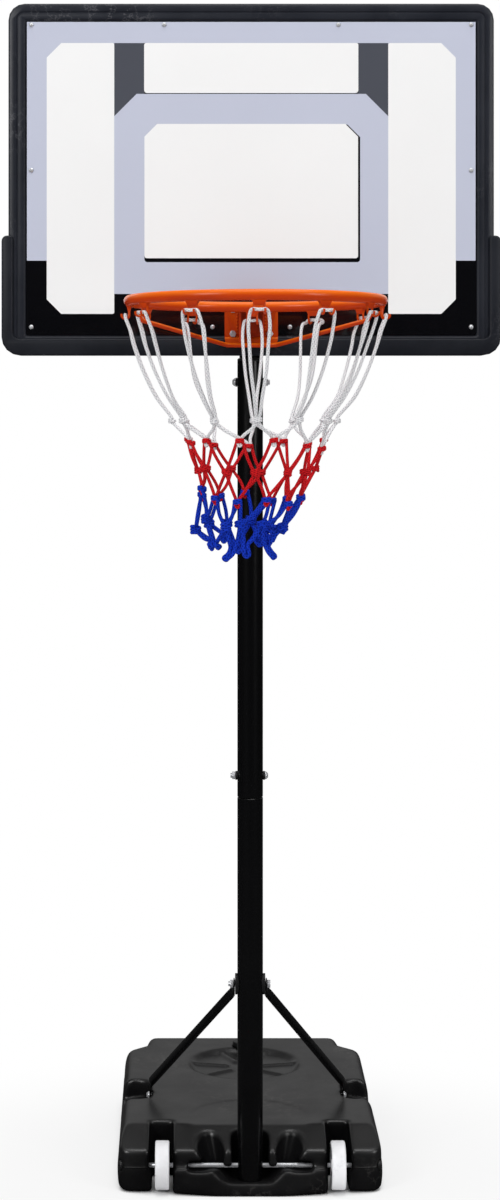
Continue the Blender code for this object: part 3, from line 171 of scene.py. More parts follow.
def span(tree, value, low, high, out_low=0.0, out_high=1.0):
    node = tree.nodes.new("ShaderNodeMapRange")
    node.interpolation_type = "SMOOTHSTEP"
    tree.links.new(value, node.inputs["Value"])
    for label, number in (("From Min", low), ("From Max", high), ("To Min", out_low), ("To Max", out_high)):
        node.inputs[label].default_value = number
    return node.outputs["Result"]


def openness(tree, reach):
    """How much of the air around a place is free of anything within this reach."""
    node = tree.nodes.new("ShaderNodeAmbientOcclusion")
    node.inputs["Distance"].default_value = reach
    return node.outputs["AO"]


def grain_group():
    """Moulded or painted grain: a fine and a coarse height, and a slow mottle."""
    sizes = [("Fine", 900.0), ("Coarse", 160.0)]
    group, start, end = new_group("surface_grain", sizes, ["Height", "Mottle"])
    fine = noise(group, start.outputs["Fine"], 2.0)
    coarse = noise(group, start.outputs["Coarse"], 3.0)
    height = math_node(group, "MULTIPLY_ADD", coarse, 0.6, fine)
    group.links.new(height, end.inputs["Height"])
    group.links.new(noise(group, 9.0, 5.0, 0.6), end.inputs["Mottle"])
    return group


def dust_group():
    """Where dust settles: on faces that look up, broken by noise."""
    group, start, end = new_group("settled_dust", [("Amount", 0.3), ("Spread", 12.0)], ["Mask"])
    geometry = group.nodes.new("ShaderNodeNewGeometry")
    parts = group.nodes.new("ShaderNodeSeparateXYZ")
    group.links.new(geometry.outputs["Normal"], parts.inputs[0])
    facing_up = span(group, parts.outputs["Z"], 0.25, 0.95)
    patches = span(group, noise(group, start.outputs["Spread"], 6.0, 0.65), 0.35, 0.75)
    mask = math_node(group, "MULTIPLY", facing_up, patches)
    mask = math_node(group, "MULTIPLY", mask, start.outputs["Amount"], clamp=True)
    group.links.new(mask, end.inputs["Mask"])
    return group


def scuff_group():
    """Thin scratches, as a mask, from a noise that is stretched and folded."""
    group, start, end = new_group("scuffs", [("Scale", 30.0), ("Thinness", 0.02)], ["Mask"])
    lines = noise(group, start.outputs["Scale"], 4.0, 0.7)
    off = math_node(group, "ABSOLUTE", math_node(group, "SUBTRACT", lines, 0.5))
    share = math_node(group, "DIVIDE", off, start.outputs["Thinness"])
    near = math_node(group, "SUBTRACT", 1.0, share, clamp=True)
    patches = span(group, noise(group, 6.0, 2.0), 0.52, 0.70)
    group.links.new(math_node(group, "MULTIPLY", near, patches), end.inputs["Mask"])
    return group


def braid_group():
    """Braid from the attribute 'cord': cosine and sine of the turn, and the place along the cord."""
    group, start, end = new_group("cord_braid", [("Strands", 4.0), ("Pitch", 900.0)], ["Height", "Fuzz"])
    cord = group.nodes.new("ShaderNodeAttribute")
    cord.attribute_name = "cord"
    parts = group.nodes.new("ShaderNodeSeparateXYZ")
    group.links.new(cord.outputs["Vector"], parts.inputs[0])
    turn = math_node(group, "ARCTAN2", parts.outputs["Y"], parts.outputs["X"])
    around = math_node(group, "MULTIPLY", turn, start.outputs["Strands"])
    along = math_node(group, "MULTIPLY", parts.outputs["Z"], start.outputs["Pitch"])
    one = math_node(group, "SINE", math_node(group, "ADD", around, along))
    other = math_node(group, "SINE", math_node(group, "SUBTRACT", around, along))
    height = math_node(group, "MULTIPLY_ADD", math_node(group, "MAXIMUM", one, other), 0.5, 0.5)
    group.links.new(height, end.inputs["Height"])
    group.links.new(noise(group, 700.0, 3.0, 0.7), end.inputs["Fuzz"])
    return group


GRAIN = grain_group()
DUST = dust_group()
SCUFFS = scuff_group()
BRAID = braid_group()


# Materials
class Finish:
    """A material with its Principled shader and the few nodes that every finish here uses."""

    def __init__(self, name, colour, roughness, **plain):
        self.material = bpy.data.materials.new(name)
        self.material.use_nodes = True
        self.tree = self.material.node_tree
        self.shader = self.tree.nodes["Principled BSDF"]
        self.shader.inputs["Base Color"].default_value = (*colour, 1)
        self.shader.inputs["Roughness"].default_value = roughness
        for label, value in plain.items():
            self.shader.inputs[label.replace("_", " ")].default_value = value

    def group(self, group, **values):
        node = self.tree.nodes.new("ShaderNodeGroup")
        node.node_tree = group
        for label, value in values.items():
            node.inputs[label].default_value = value
        return node

    def colours(self, mask, first, second):
        mix = self.tree.nodes.new("ShaderNodeMix")
        mix.data_type = "RGBA"
        self.tree.links.new(mask, mix.inputs["Factor"])
        for socket, colour in ((mix.inputs[6], first), (mix.inputs[7], second)):
            if isinstance(colour, tuple):
                socket.default_value = (*colour, 1)
            else:
                self.tree.links.new(colour, socket)
        return mix.outputs[2]

    def feed(self, label, socket):
        self.tree.links.new(socket, self.shader.inputs[label])

    def bump(self, height, distance, strength=1.0):
        node = self.tree.nodes.new("ShaderNodeBump")
        node.inputs["Distance"].default_value = distance
        node.inputs["Strength"].default_value = strength
        self.tree.links.new(height, node.inputs["Height"])
        self.feed("Normal", node.outputs["Normal"])


def plastic(name, colour, pale, roughness, fine, coarse, depth, dust=0.2, relief=0.25, **plain):
    """Moulded plastic: grain, slow mottle, scuffs and a little dust on top."""
    look = Finish(name, colour, roughness, **plain)
    grain = look.group(GRAIN, Fine=fine, Coarse=coarse)
    mottle = span(look.tree, grain.outputs["Mottle"], 0.3, 0.7)
    base = look.colours(mottle, colour, tuple(c * 1.35 + 0.002 for c in colour))
    scuffed = look.colours(look.group(SCUFFS).outputs["Mask"], base, pale)
    dusty = look.group(DUST, Amount=dust)
    look.feed("Base Color", look.colours(dusty.outputs["Mask"], scuffed, pale))
    rough = span(look.tree, grain.outputs["Mottle"], 0.25, 0.75, roughness - 0.04, roughness + 0.06)
    look.feed("Roughness", rough)
    look.bump(grain.outputs["Height"], depth, relief)
    return look.material


def moulded_plastic():
    """The tank's plastic, with the raised line where the two halves of its mould met, and painted shade
    that takes the sheen out of its hollows and its lower front.
    """
    material = plastic(
        "tank_plastic", (0.0042, 0.0041, 0.0044), (0.06, 0.057, 0.054), 0.34,
        1300.0, 260.0, 0.0003, 0.06, 0.16,
    )
    tree = material.node_tree
    parts = tree.nodes.new("ShaderNodeSeparateXYZ")
    tree.links.new(tree.nodes.new("ShaderNodeTexCoord").outputs["Object"], parts.inputs[0])
    off = math_node(tree, "ABSOLUTE", math_node(tree, "SUBTRACT", parts.outputs["Z"], TANK_SEAM))
    seam = tree.nodes.new("ShaderNodeBump")
    seam.inputs["Distance"].default_value = 0.0012
    seam.inputs["Strength"].default_value = 0.8
    tree.links.new(span(tree, off, 0.0004, 0.0014, 1.0, 0.0), seam.inputs["Height"])
    grain = next(node for node in tree.nodes if node.type == "BUMP" and node != seam)
    tree.links.new(seam.outputs["Normal"], grain.inputs["Normal"])
    # Painted shade: the sheen is cut down in hollows, as far as they are closed in, and most of it in the
    # pockets and the channel under the sloped front
    sheen = span(tree, openness(tree, 0.16), 0.48, 0.88, 0.0, 0.80)
    slope = math_node(tree, "MULTIPLY_ADD", parts.outputs["Y"], FRONT_SLOPE, FRONT_TOP)
    under = span(tree, math_node(tree, "SUBTRACT", slope, parts.outputs["Z"]), 0.002, 0.009)
    inward = span(tree, parts.outputs["Y"], -0.010, 0.002)
    inward = math_node(tree, "MULTIPLY", inward, span(tree, parts.outputs["Y"], 0.052, 0.060, 1.0, 0.0))
    beside = span(tree, math_node(tree, "ABSOLUTE", parts.outputs["X"]), 0.106, 0.112, 1.0, 0.0)
    hollow = math_node(tree, "MULTIPLY", math_node(tree, "MULTIPLY", under, inward), beside)
    sheen = math_node(tree, "MULTIPLY", sheen, span(tree, hollow, 0.0, 1.0, 1.0, 0.10))
    # Painted shade: the lower front, from about the seam down, keeps only about a third of its sheen
    sheen = math_node(tree, "MULTIPLY", sheen, span(tree, parts.outputs["Z"], 0.030, 0.046, 0.35, 1.0))
    tree.links.new(sheen, tree.nodes["Principled BSDF"].inputs["Specular IOR Level"])
    return material


def paint(name, colour, dark, roughness, relief, painted_top_light=None, **plain):
    """Powder coat: faint orange peel, darker in patches, and a painted highlight, paler on faces that look
    up, if that colour is given.
    """
    look = Finish(name, colour, roughness, **plain)
    grain = look.group(GRAIN, Fine=880.0, Coarse=220.0)
    mottle = span(look.tree, grain.outputs["Mottle"], 0.3, 0.72)
    base = look.colours(mottle, dark, colour)
    final = look.colours(look.group(SCUFFS, Scale=45.0, Thinness=0.008).outputs["Mask"], base, dark)
    # Painted light: faces that look up take the paler colour, faces that look down keep the darker one
    if painted_top_light:
        above = look.tree.nodes.new("ShaderNodeSeparateXYZ")
        geometry = look.tree.nodes.new("ShaderNodeNewGeometry")
        look.tree.links.new(geometry.outputs["Normal"], above.inputs[0])
        final = look.colours(span(look.tree, above.outputs["Z"], -0.35, 0.85), final, painted_top_light)
    look.feed("Base Color", final)
    rough = span(look.tree, grain.outputs["Mottle"], 0.2, 0.8, roughness + 0.05, roughness - 0.04)
    look.feed("Roughness", rough)
    look.bump(grain.outputs["Height"], 0.0003, relief)
    return look.material


def zinc(name):
    """Zinc plating with its spangle."""
    look = Finish(name, (0.60, 0.61, 0.63), 0.3, Metallic=0.62)
    spangle = look.tree.nodes.new("ShaderNodeTexVoronoi")
    spangle.inputs["Scale"].default_value = 420.0
    where = look.tree.nodes.new("ShaderNodeTexCoord").outputs["Object"]
    look.tree.links.new(where, spangle.inputs["Vector"])
    grey = look.colours(spangle.outputs["Distance"], (0.84, 0.85, 0.87), (0.58, 0.59, 0.62))
    look.feed("Base Color", grey)
    grain = look.group(GRAIN, Fine=2200.0, Coarse=500.0)
    look.feed("Roughness", span(look.tree, grain.outputs["Mottle"], 0.3, 0.7, 0.22, 0.42))
    look.bump(grain.outputs["Height"], 0.0001, 0.4)
    return look.material


def cord_finish(name, colour, shade, **plain):
    """Braided cord with loose fibres."""
    look = Finish(name, colour, 0.85, **plain)
    braid = look.group(BRAID, Strands=4.0, Pitch=900.0)
    # Painted shade: the grooves between the braid's strands are darker
    base = look.colours(span(look.tree, braid.outputs["Height"], 0.2, 0.9), shade, colour)
    fuzz = span(look.tree, braid.outputs["Fuzz"], 0.45, 0.8, 0.0, 0.30)
    look.feed("Base Color", look.colours(fuzz, base, tuple(min(1.0, c * 1.2 + 0.004) for c in colour)))
    height = math_node(look.tree, "MULTIPLY_ADD", braid.outputs["Fuzz"], 0.5, braid.outputs["Height"])
    look.bump(height, 0.0006, 0.9)
    return look.material


def print_finish(name, colour, roughness=0.16):
    """Glossy printed sheet with a faint unevenness."""
    look = Finish(name, colour, roughness, Coat_Weight=0.3, Coat_Roughness=0.05)
    darker = tuple(c * 0.97 for c in colour)
    paler = tuple(min(1.0, c * 1.03) for c in colour)
    look.feed("Base Color", look.colours(noise(look.tree, 5.0, 2.0), darker, paler))
    uneven = noise(look.tree, 40.0, 4.0)
    look.feed("Roughness", span(look.tree, uneven, 0.3, 0.7, roughness - 0.04, roughness + 0.06))
    look.bump(noise(look.tree, 14.0, 2.0), 0.0006, 0.2)
    return look.material


LOOKS = {
    "tank_plastic": moulded_plastic(),
    "cap_plastic": plastic(
        "cap_plastic", (0.006, 0.006, 0.0065), (0.10, 0.10, 0.10), 0.38, 1500.0, 400.0, 0.0002,
    ),
    "wheel_plastic": plastic(
        "wheel_plastic", (0.78, 0.78, 0.80), (0.42, 0.41, 0.40), 0.42, 900.0, 240.0, 0.0002, 0.1,
    ),
    "zinc": zinc("zinc"),
    "pole_paint": paint(
        "pole_paint", (0.0022, 0.0022, 0.0026), (0.0010, 0.0010, 0.0014), 0.22, 0.08,
        Specular_IOR_Level=0.4,
    ),
    "frame_plastic": plastic(
        "frame_plastic", (0.0095, 0.0112, 0.0170), (0.07, 0.07, 0.08), 0.36, 1600.0, 500.0, 0.0002, 0.03,
        Specular_IOR_Level=0.34,
    ),
    "pad_rubber": plastic(
        "pad_rubber", (0.0085, 0.0098, 0.0140), (0.06, 0.06, 0.07), 0.42, 1200.0, 420.0, 0.0003, 0.03,
        Specular_IOR_Level=0.20,
    ),
    # Painted light: the deep red is the rim's colour as it looks in shade, and the paler orange, on faces
    # that look up, is its colour where it is lit
    "rim_paint": paint(
        "rim_paint", (0.56, 0.046, 0.003), (0.46, 0.034, 0.003), 0.22, 0.06, (0.78, 0.138, 0.005),
        Specular_IOR_Level=0.18,
    ),
    "white_cord": cord_finish("white_cord", (0.80, 0.80, 0.81), (0.48, 0.48, 0.52), Sheen_Weight=0.2),
    "red_cord": cord_finish(
        "red_cord", (0.62, 0.012, 0.016), (0.24, 0.003, 0.005), Specular_IOR_Level=0.08,
    ),
    "blue_cord": cord_finish(
        "blue_cord", (0.007, 0.040, 0.50), (0.002, 0.008, 0.17), Specular_IOR_Level=0.08,
    ),
    "print_white": print_finish("print_white", (0.855, 0.855, 0.855)),
    "print_lavender": print_finish("print_lavender", (0.515, 0.540, 0.650)),
    "print_dark": print_finish("print_dark", (0.072, 0.077, 0.095)),
    "print_black": print_finish("print_black", (0.0025, 0.0025, 0.0035), 0.10),
}


# Pieces
def new_piece(name, bm, body, look, smooth=40, replaces=()):
    """A finished object from a mesh, riding on a body, smooth up to an angle of so many degrees."""
    mesh = bpy.data.meshes.new(name)
    bm.to_mesh(mesh)
    bm.free()
    obj = bpy.data.objects.new(name, mesh)
    bpy.context.scene.collection.objects.link(obj)
    for each in [look] if isinstance(look, str) else look:
        mesh.materials.append(LOOKS[each])
    mesh.shade_smooth()
    mesh.set_sharp_from_angle(angle=math.radians(smooth))
    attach(obj, body)
    if replaces:
        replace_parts(obj, *replaces)
    return obj


def whole(node):
    """A copy of a CAD node's surface with its loose triangles joined and its flat faces whole."""
    bm = bmesh.new()
    bm.from_mesh(NODES[node].data)
    bmesh.ops.remove_doubles(bm, verts=bm.verts, dist=2e-6)
    bmesh.ops.dissolve_limit(bm, angle_limit=math.radians(0.6), verts=bm.verts, edges=bm.edges)
    return bm


def soften(bm, edges, width, clamp=False):
    bmesh.ops.bevel(
        bm, geom=edges, offset=width, segments=2, profile=0.5, affect="EDGES", clamp_overlap=clamp,
        material=-1,
    )


def soften_sharp(bm, width):
    sharp = [e for e in bm.edges if e.is_manifold and e.calc_face_angle() > SHARP_ANGLE]
    soften(bm, sharp, width, True)


def refined(node, body, look, smooth, edge):
    """The node's own shape with its sharp edges broken."""
    bm = whole(node)
    if edge:
        soften_sharp(bm, edge)
    return new_piece(f"{node}_finished", bm, body, look, smooth, (node,))


def hook_angle(index):
    return -math.pi / 2 + 2 * math.pi * index / HOOKS


def up(height):
    return Vector((0, 0, height))


def smooth_line(points, steps):
    """Catmull-Rom line through the points."""
    points = [Vector(p) for p in points]
    last = len(points) - 1
    line = []
    for i in range(last):
        a, b, c, d = (points[min(max(k, 0), last)] for k in range(i - 1, i + 3))
        square = 2 * a - 5 * b + 4 * c - d
        cube = 3 * b - a - 3 * c + d
        for step in range(steps):
            t = step / steps
            line.append(0.5 * (2 * b + (c - a) * t + square * t * t + cube * t ** 3))
    line.append(points[last])
    return line


def lay_cord(bm, line, radius, sides=8):
    """A tube along a line, extruded ring by ring; its turn and length are in the attribute 'cord'."""
    layer = bm.verts.layers.float_vector.get("cord") or bm.verts.layers.float_vector.new("cord")
    count = len(line)
    way = [(line[min(i + 1, count - 1)] - line[max(i - 1, 0)]).normalized() for i in range(count)]
    across = way[0].orthogonal().normalized()
    places = []
    for i in range(count):
        across = (across - way[i] * across.dot(way[i])).normalized()
        side = way[i].cross(across)
        turn = Matrix((across, side, way[i])).transposed().to_4x4()
        places.append(Matrix.Translation(line[i]) @ turn)
    made = bmesh.ops.create_circle(bm, segments=sides, radius=radius, cap_ends=False, matrix=places[0])
    ring = made["verts"]
    for vert in ring:
        local = places[0].inverted() @ vert.co
        vert[layer] = (local.x / radius, local.y / radius, 0.0)
    edges = list({e for v in ring for e in v.link_edges})
    start_edges = list(edges)
    length = 0.0
    last = places[0]
    for i in range(1, count):
        length += (line[i] - line[i - 1]).length
        out = bmesh.ops.extrude_edge_only(bm, edges=edges)
        ring = [g for g in out["geom"] if isinstance(g, bmesh.types.BMVert)]
        edges = [g for g in out["geom"] if isinstance(g, bmesh.types.BMEdge)]
        bmesh.ops.transform(bm, matrix=places[i] @ last.inverted(), verts=ring)
        for vert in ring:
            old = vert[layer]
            vert[layer] = (old.x, old.y, length)
        last = places[i]
    bmesh.ops.holes_fill(bm, edges=start_edges, sides=sides)
    bmesh.ops.holes_fill(bm, edges=edges, sides=sides)


def lean(point):
    """The net hangs a little to one side towards its lower end."""
    share = min(max((-point.z - LEAN_FROM) / (LEAN_TO - LEAN_FROM), 0.0), 1.0)
    return point + Vector((-NET_LEAN * share * share, 0, 0))


def row_point(row, index, jitter=0.0):
    """A place in a row of the net, from the ring's middle, moved at random by up to the jitter."""
    drop, radius = row
    angle = hook_angle(index)
    back = max(math.sin(angle), 0.0) if drop > ROW_KNOT[0] else 0.0
    angle -= BACK_TWIST * back
    point = Vector((radius * math.cos(angle), radius * math.sin(angle), -drop - BACK_SAG * back))
    return lean(point + Vector([chance.uniform(-jitter, jitter) for _ in range(3)]))


def finish_net(name, bm, look, node):
    bmesh.ops.translate(bm, verts=bm.verts, vec=RING_MIDDLE)
    bmesh.ops.recalc_face_normals(bm, faces=bm.faces)
    return new_piece(name, bm, "hoop_carriage", look, 180, (node,))


def around(index):
    """Outward and sideways directions at a place round the ring."""
    angle = hook_angle(index)
    return Vector((math.cos(angle), math.sin(angle), 0)), Vector((-math.sin(angle), math.cos(angle), 0))


def bar(bm, place, index, wide, deep, cord, turns, rise):
    """Cord wound level round a tip; gives back the two places where its ends leave it."""
    out, side = around(index)
    tilt = chance.uniform(-0.16, 0.16)
    side = (side + up(tilt)).normalized()
    steps = int(turns * 12)
    line = []
    for k in range(steps + 1):
        angle = math.pi - math.tau * turns * k / steps
        height = (0.5 - k / steps) * rise
        level = place + side * (-wide * math.cos(angle)) + out * (deep * math.sin(angle))
        line.append(level + up(height))
    lay_cord(bm, line, cord)
    return [place + side * (sign * wide * 0.92) + up(-0.0012) for sign in (-1, 1)]


def white_loops():
    """A loop over each hook, down to a row of knots, and the cords between them; gives back their tips."""
    bm = bmesh.new()
    knots, tips = [], []
    drop = HOOK_DROP + HOOK_CURL - HOOK_WIRE - WHITE_CORD - 0.0006
    out = RING_RADIUS + HOOK_CURL
    for i in range(HOOKS):
        turn = Matrix.Rotation(hook_angle(i), 4, "Z")
        beside_brace = i in (HOOKS // 2 - 1, HOOKS // 2 + 1)
        knot = row_point(ROW_KNOT, i, 0.0020)
        legs = []
        for side in (-1, 1):
            bow = chance.uniform(-0.0020, 0.0020)
            if beside_brace:
                leg = [
                    (out - 0.0006, side * 0.0148, -drop - 0.0037),
                    (out - 0.018, side * 0.0150, -drop - 0.0150),
                ]
            else:
                leg = [
                    (out - 0.0012, side * 0.0140, -drop - 0.0060),
                    (out - 0.0080, side * 0.0158, -drop - 0.0240),
                    (0.186 + bow, side * (0.0150 + bow / 2), -0.070),
                ]
            leg.append((0.171 + bow, side * 0.0115, -0.110))
            leg.append((0.152 + bow, side * 0.0062, -0.148))
            points = [turn @ Vector(p) for p in leg]
            points.append(knot + turn.to_3x3() @ Vector((0.0022, side * 0.0028, 0.008)))
            points.append(knot + turn.to_3x3() @ Vector((-0.0012, -side * 0.0022, -0.0035)))
            legs.append(points)
        rest = [turn @ Vector((out, side * HOOK_SPREAD, -drop + 0.0006)) for side in (-1, 1)]
        path = legs[0][::-1]
        path += [rest[0] + turn.to_3x3() @ Vector((0, -0.0028, 0.0)), (rest[0] + rest[1]) / 2]
        path += [rest[1] + turn.to_3x3() @ Vector((0, 0.0028, 0.0))] + legs[1]
        lay_cord(bm, smooth_line(path, 7), WHITE_CORD)
        bar(bm, knot + up(0.001), i, 0.0046, 0.0042, WHITE_CORD * 0.9, 1.6, 0.0052)
        knots.append(knot)
    for i in range(HOOKS):
        tip = row_point(ROW_WHITE_TIP, i + 0.5, 0.0030) - up(WHITE_SAG.get(i, 0))
        tips.append(tip)
        one, other = knots[i], knots[(i + 1) % HOOKS]
        outward, side = around(i + 0.5)
        down = up(-1)
        path = [
            one + down * 0.001,
            one.lerp(tip, 0.32) + down * 0.0040 - outward * 0.002,
            one.lerp(tip, 0.74) + down * 0.0040,
            tip - side * 0.0025 + down * 0.004,
            tip - side * 0.0024 + down * 0.0115,
            tip + down * 0.0148,
            tip + side * 0.0024 + down * 0.0115,
            tip + side * 0.0025 + down * 0.004,
            other.lerp(tip, 0.74) + down * 0.0040,
            other.lerp(tip, 0.32) + down * 0.0040 - outward * 0.002,
            other + down * 0.001,
        ]
        lay_cord(bm, smooth_line(path, 5), WHITE_CORD)
    finish_net("net_white_cords", bm, "white_cord", "net_white")
    return tips


def upper_row(bm, tips, mid_row, jitter, cord, turns, rise, knot, bow):
    """A bar over each tip above, and from its ends a cord down to the knot on either side."""
    mids = [row_point(mid_row, i, jitter) for i in range(HOOKS)]
    for i, tip in enumerate(tips):
        ends = bar(bm, tip, i + 0.5, 0.0050, 0.0048, cord, turns, rise)
        for end, mid in zip(ends, (mids[i], mids[(i + 1) % HOOKS])):
            aside = [chance.uniform(-bow, bow) for _ in range(2)]
            sag = Vector((*aside, -chance.uniform(0.002, 0.005)))
            lay_cord(bm, smooth_line([end, end.lerp(mid, 0.45) + sag, mid + up(-0.002)], 7), cord)
    for i, mid in enumerate(mids):
        bar(bm, mid, i, knot, knot, cord, 2.3, 1.7 * knot)
        bar(bm, mid + up(-0.002), i + 2.2, knot * 0.8, knot * 0.8, cord * 0.9, 1.2, knot)
    return mids


def lower_row(bm, mids, ends, cord):
    """From each knot down to the low ends, where the cord turns back on itself."""
    for i, (tip, swing, length) in enumerate(ends):
        one, other = mids[i], mids[(i + 1) % HOOKS]
        outward, side = around(i + 0.5)
        top = tip + up(length) - swing
        half = cord * 1.02
        loose = [Vector([chance.uniform(-length, length) * 0.16 for _ in range(3)]) for _ in range(2)]
        bow = outward * 0.003 - swing * 0.25
        middle = (top + tip) / 2 + bow
        path = [one + up(-0.001), one.lerp(top, 0.55) + up(-0.003) - outward * 0.001 + loose[0]]
        path += [top - side * half, middle - side * half, tip - side * half + up(0.003), tip]
        path += [tip + side * half + up(0.003), middle + side * half, top + side * half]
        path += [other.lerp(top, 0.55) + up(-0.003) - outward * 0.001 + loose[1], other + up(-0.001)]
        lay_cord(bm, smooth_line(path, 6), cord)


def colour_rows(white_tips):
    """The red cord under the white one's tips, and the blue one under the red one's."""
    red = bmesh.new()
    tips = [tip + up(-0.0078) for tip in white_tips]
    mids = upper_row(red, tips, ROW_RED_MID, 0.0055, RED_CORD, 2.1, 0.0050, 0.0044, 0.0015)
    ends = []
    for i in range(HOOKS):
        tip = row_point(ROW_RED_TIP, i + 0.5, 0.0035) - up(0.0075 + RED_SAG.get(i, 0))
        ends.append((tip, up(0), 0.012))
    lower_row(red, mids, ends, RED_CORD)
    finish_net("net_red_cords", red, "red_cord", "net_red")
    blue = bmesh.new()
    tips = [tip + up(0.0078) for tip, _, _ in ends]
    mids = upper_row(blue, tips, ROW_BLUE_MID, 0.0100, BLUE_CORD, 2.1, 0.0058, 0.0062, 0.0035)
    ends = []
    for i in range(HOOKS):
        limits = ((-0.006, 0.006), (0.368, 0.386), (-0.006, 0.006))
        loose = [chance.uniform(low, high) for low, high in limits]
        aside, drop, swing, length = BLUE_ENDS.get(i, (*loose, 0.014))
        tip = row_point((drop, ROW_BLUE_TIP[1]), i + 0.5) + Vector((aside, 0, 0))
        ends.append((tip, Vector((swing, 0, 0)), length))
    lower_row(blue, mids, ends, BLUE_END_CORD)
    finish_net("net_blue_cords", blue, "blue_cord", "net_blue")


colour_rows(white_loops())


# Ring with its hooks
def weld(bm, place, size):
    """A small bead of weld."""
    matrix = Matrix.Translation(place) @ Matrix.Diagonal((*size, 1))
    bmesh.ops.create_icosphere(bm, subdivisions=2, radius=1, matrix=matrix)


def ring():
    """The ring's tube with a welded plate and two hooks of wire at each of its places."""
    bm = bmesh.new()
    place = Matrix.Translation((RING_RADIUS, 0, 0)) @ Matrix.Rotation(math.pi / 2, 4, "X")
    made = bmesh.ops.create_circle(bm, segments=24, radius=RING_TUBE, matrix=place)
    edges = list({e for v in made["verts"] for e in v.link_edges})
    bmesh.ops.spin(
        bm, geom=made["verts"] + edges, cent=(0, 0, 0), axis=(0, 0, 1), angle=math.tau, steps=144,
        use_merge=True,
    )
    bmesh.ops.recalc_face_normals(bm, faces=bm.faces)
    for i in range(HOOKS):
        start = len(bm.verts)
        plate_low = RING_TUBE + 0.0075
        made = bmesh.ops.create_cube(bm, size=1)
        for vert in made["verts"]:
            low = vert.co.z < 0
            wide, deep = (0.0068, 0.0022) if low else (0.0122, 0.0040)
            vert.co = Vector((
                RING_RADIUS + math.copysign(deep, vert.co.x), math.copysign(wide, vert.co.y),
                -plate_low if low else -RING_TUBE + 0.003,
            ))
        edges = list({e for v in made["verts"] for e in v.link_edges})
        soften(bm, edges, 0.0009)
        for side in (-1, 1):
            path = [Vector((RING_RADIUS, side * HOOK_SPREAD, -plate_low + 0.004))]
            for k in range(HOOK_POINTS):
                angle = math.pi + HOOK_TURN * k / (HOOK_POINTS - 1)
                path.append(Vector((
                    RING_RADIUS + HOOK_CURL + HOOK_CURL * math.cos(angle),
                    side * (HOOK_SPREAD + 0.00018 * k),
                    -HOOK_DROP + HOOK_CURL * math.sin(angle),
                )))
            lay_cord(bm, smooth_line(path, 4), HOOK_WIRE)
            for reach in (0.0030, -0.0030):
                place = Vector((RING_RADIUS + reach, side * 0.0100, -RING_TUBE + 0.0012))
                weld(bm, place, (0.0016, 0.0034, 0.0014))
        turn = Matrix.Rotation(hook_angle(i), 4, "Z")
        bm.verts.ensure_lookup_table()
        bmesh.ops.transform(bm, matrix=turn, verts=bm.verts[start:])
    bmesh.ops.translate(bm, verts=bm.verts, vec=RING_MIDDLE)
    return new_piece("rim_ring_finished", bm, "hoop_carriage", "rim_paint", 40, ("rim_ring",))


ring()


def rim_bracket():
    """The rim's bracket, with its apron over the pad and beads of weld where its sheets meet."""
    bm = whole("rim_bracket")
    soften_sharp(bm, 0.0005)
    low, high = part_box("rim_bracket")
    face = BOARD_FACE - 0.0053
    apron = ((-0.0072, 0.0076, 0.0, 0.003), (0.0066, 0.0098, 0.0040, 0.0))
    for bottom, top, back, taper in apron:
        made = bmesh.ops.create_cube(bm, size=1)
        for vert in made["verts"]:
            front, upper = vert.co.y < 0, vert.co.z > 0
            y = (face - 0.0028 if front else face) + (back if upper else 0.0)
            x = math.copysign(high.x - (0.0 if upper else taper), vert.co.x)
            vert.co = Vector((x, y, low.z + (top if upper else bottom)))
        edges = list({e for v in made["verts"] for e in v.link_edges})
        soften(bm, edges, 0.0006)
    for side in (-1, 1):
        for k in range(11):
            y = BOARD_FACE - 0.0036 - 0.0002 * (k % 2)
            place = Vector((side * 0.0232, y, low.z + 0.004 + k * 0.0054))
            weld(bm, place, (0.0016, 0.0015, 0.0031))
    return new_piece("rim_bracket_welded", bm, "hoop_carriage", "rim_paint", 40, ("rim_bracket",))


rim_bracket()


# Printed sheet
def oblong(left, right, low, high):
    return [(left, low), (right, low), (right, high), (left, high)]


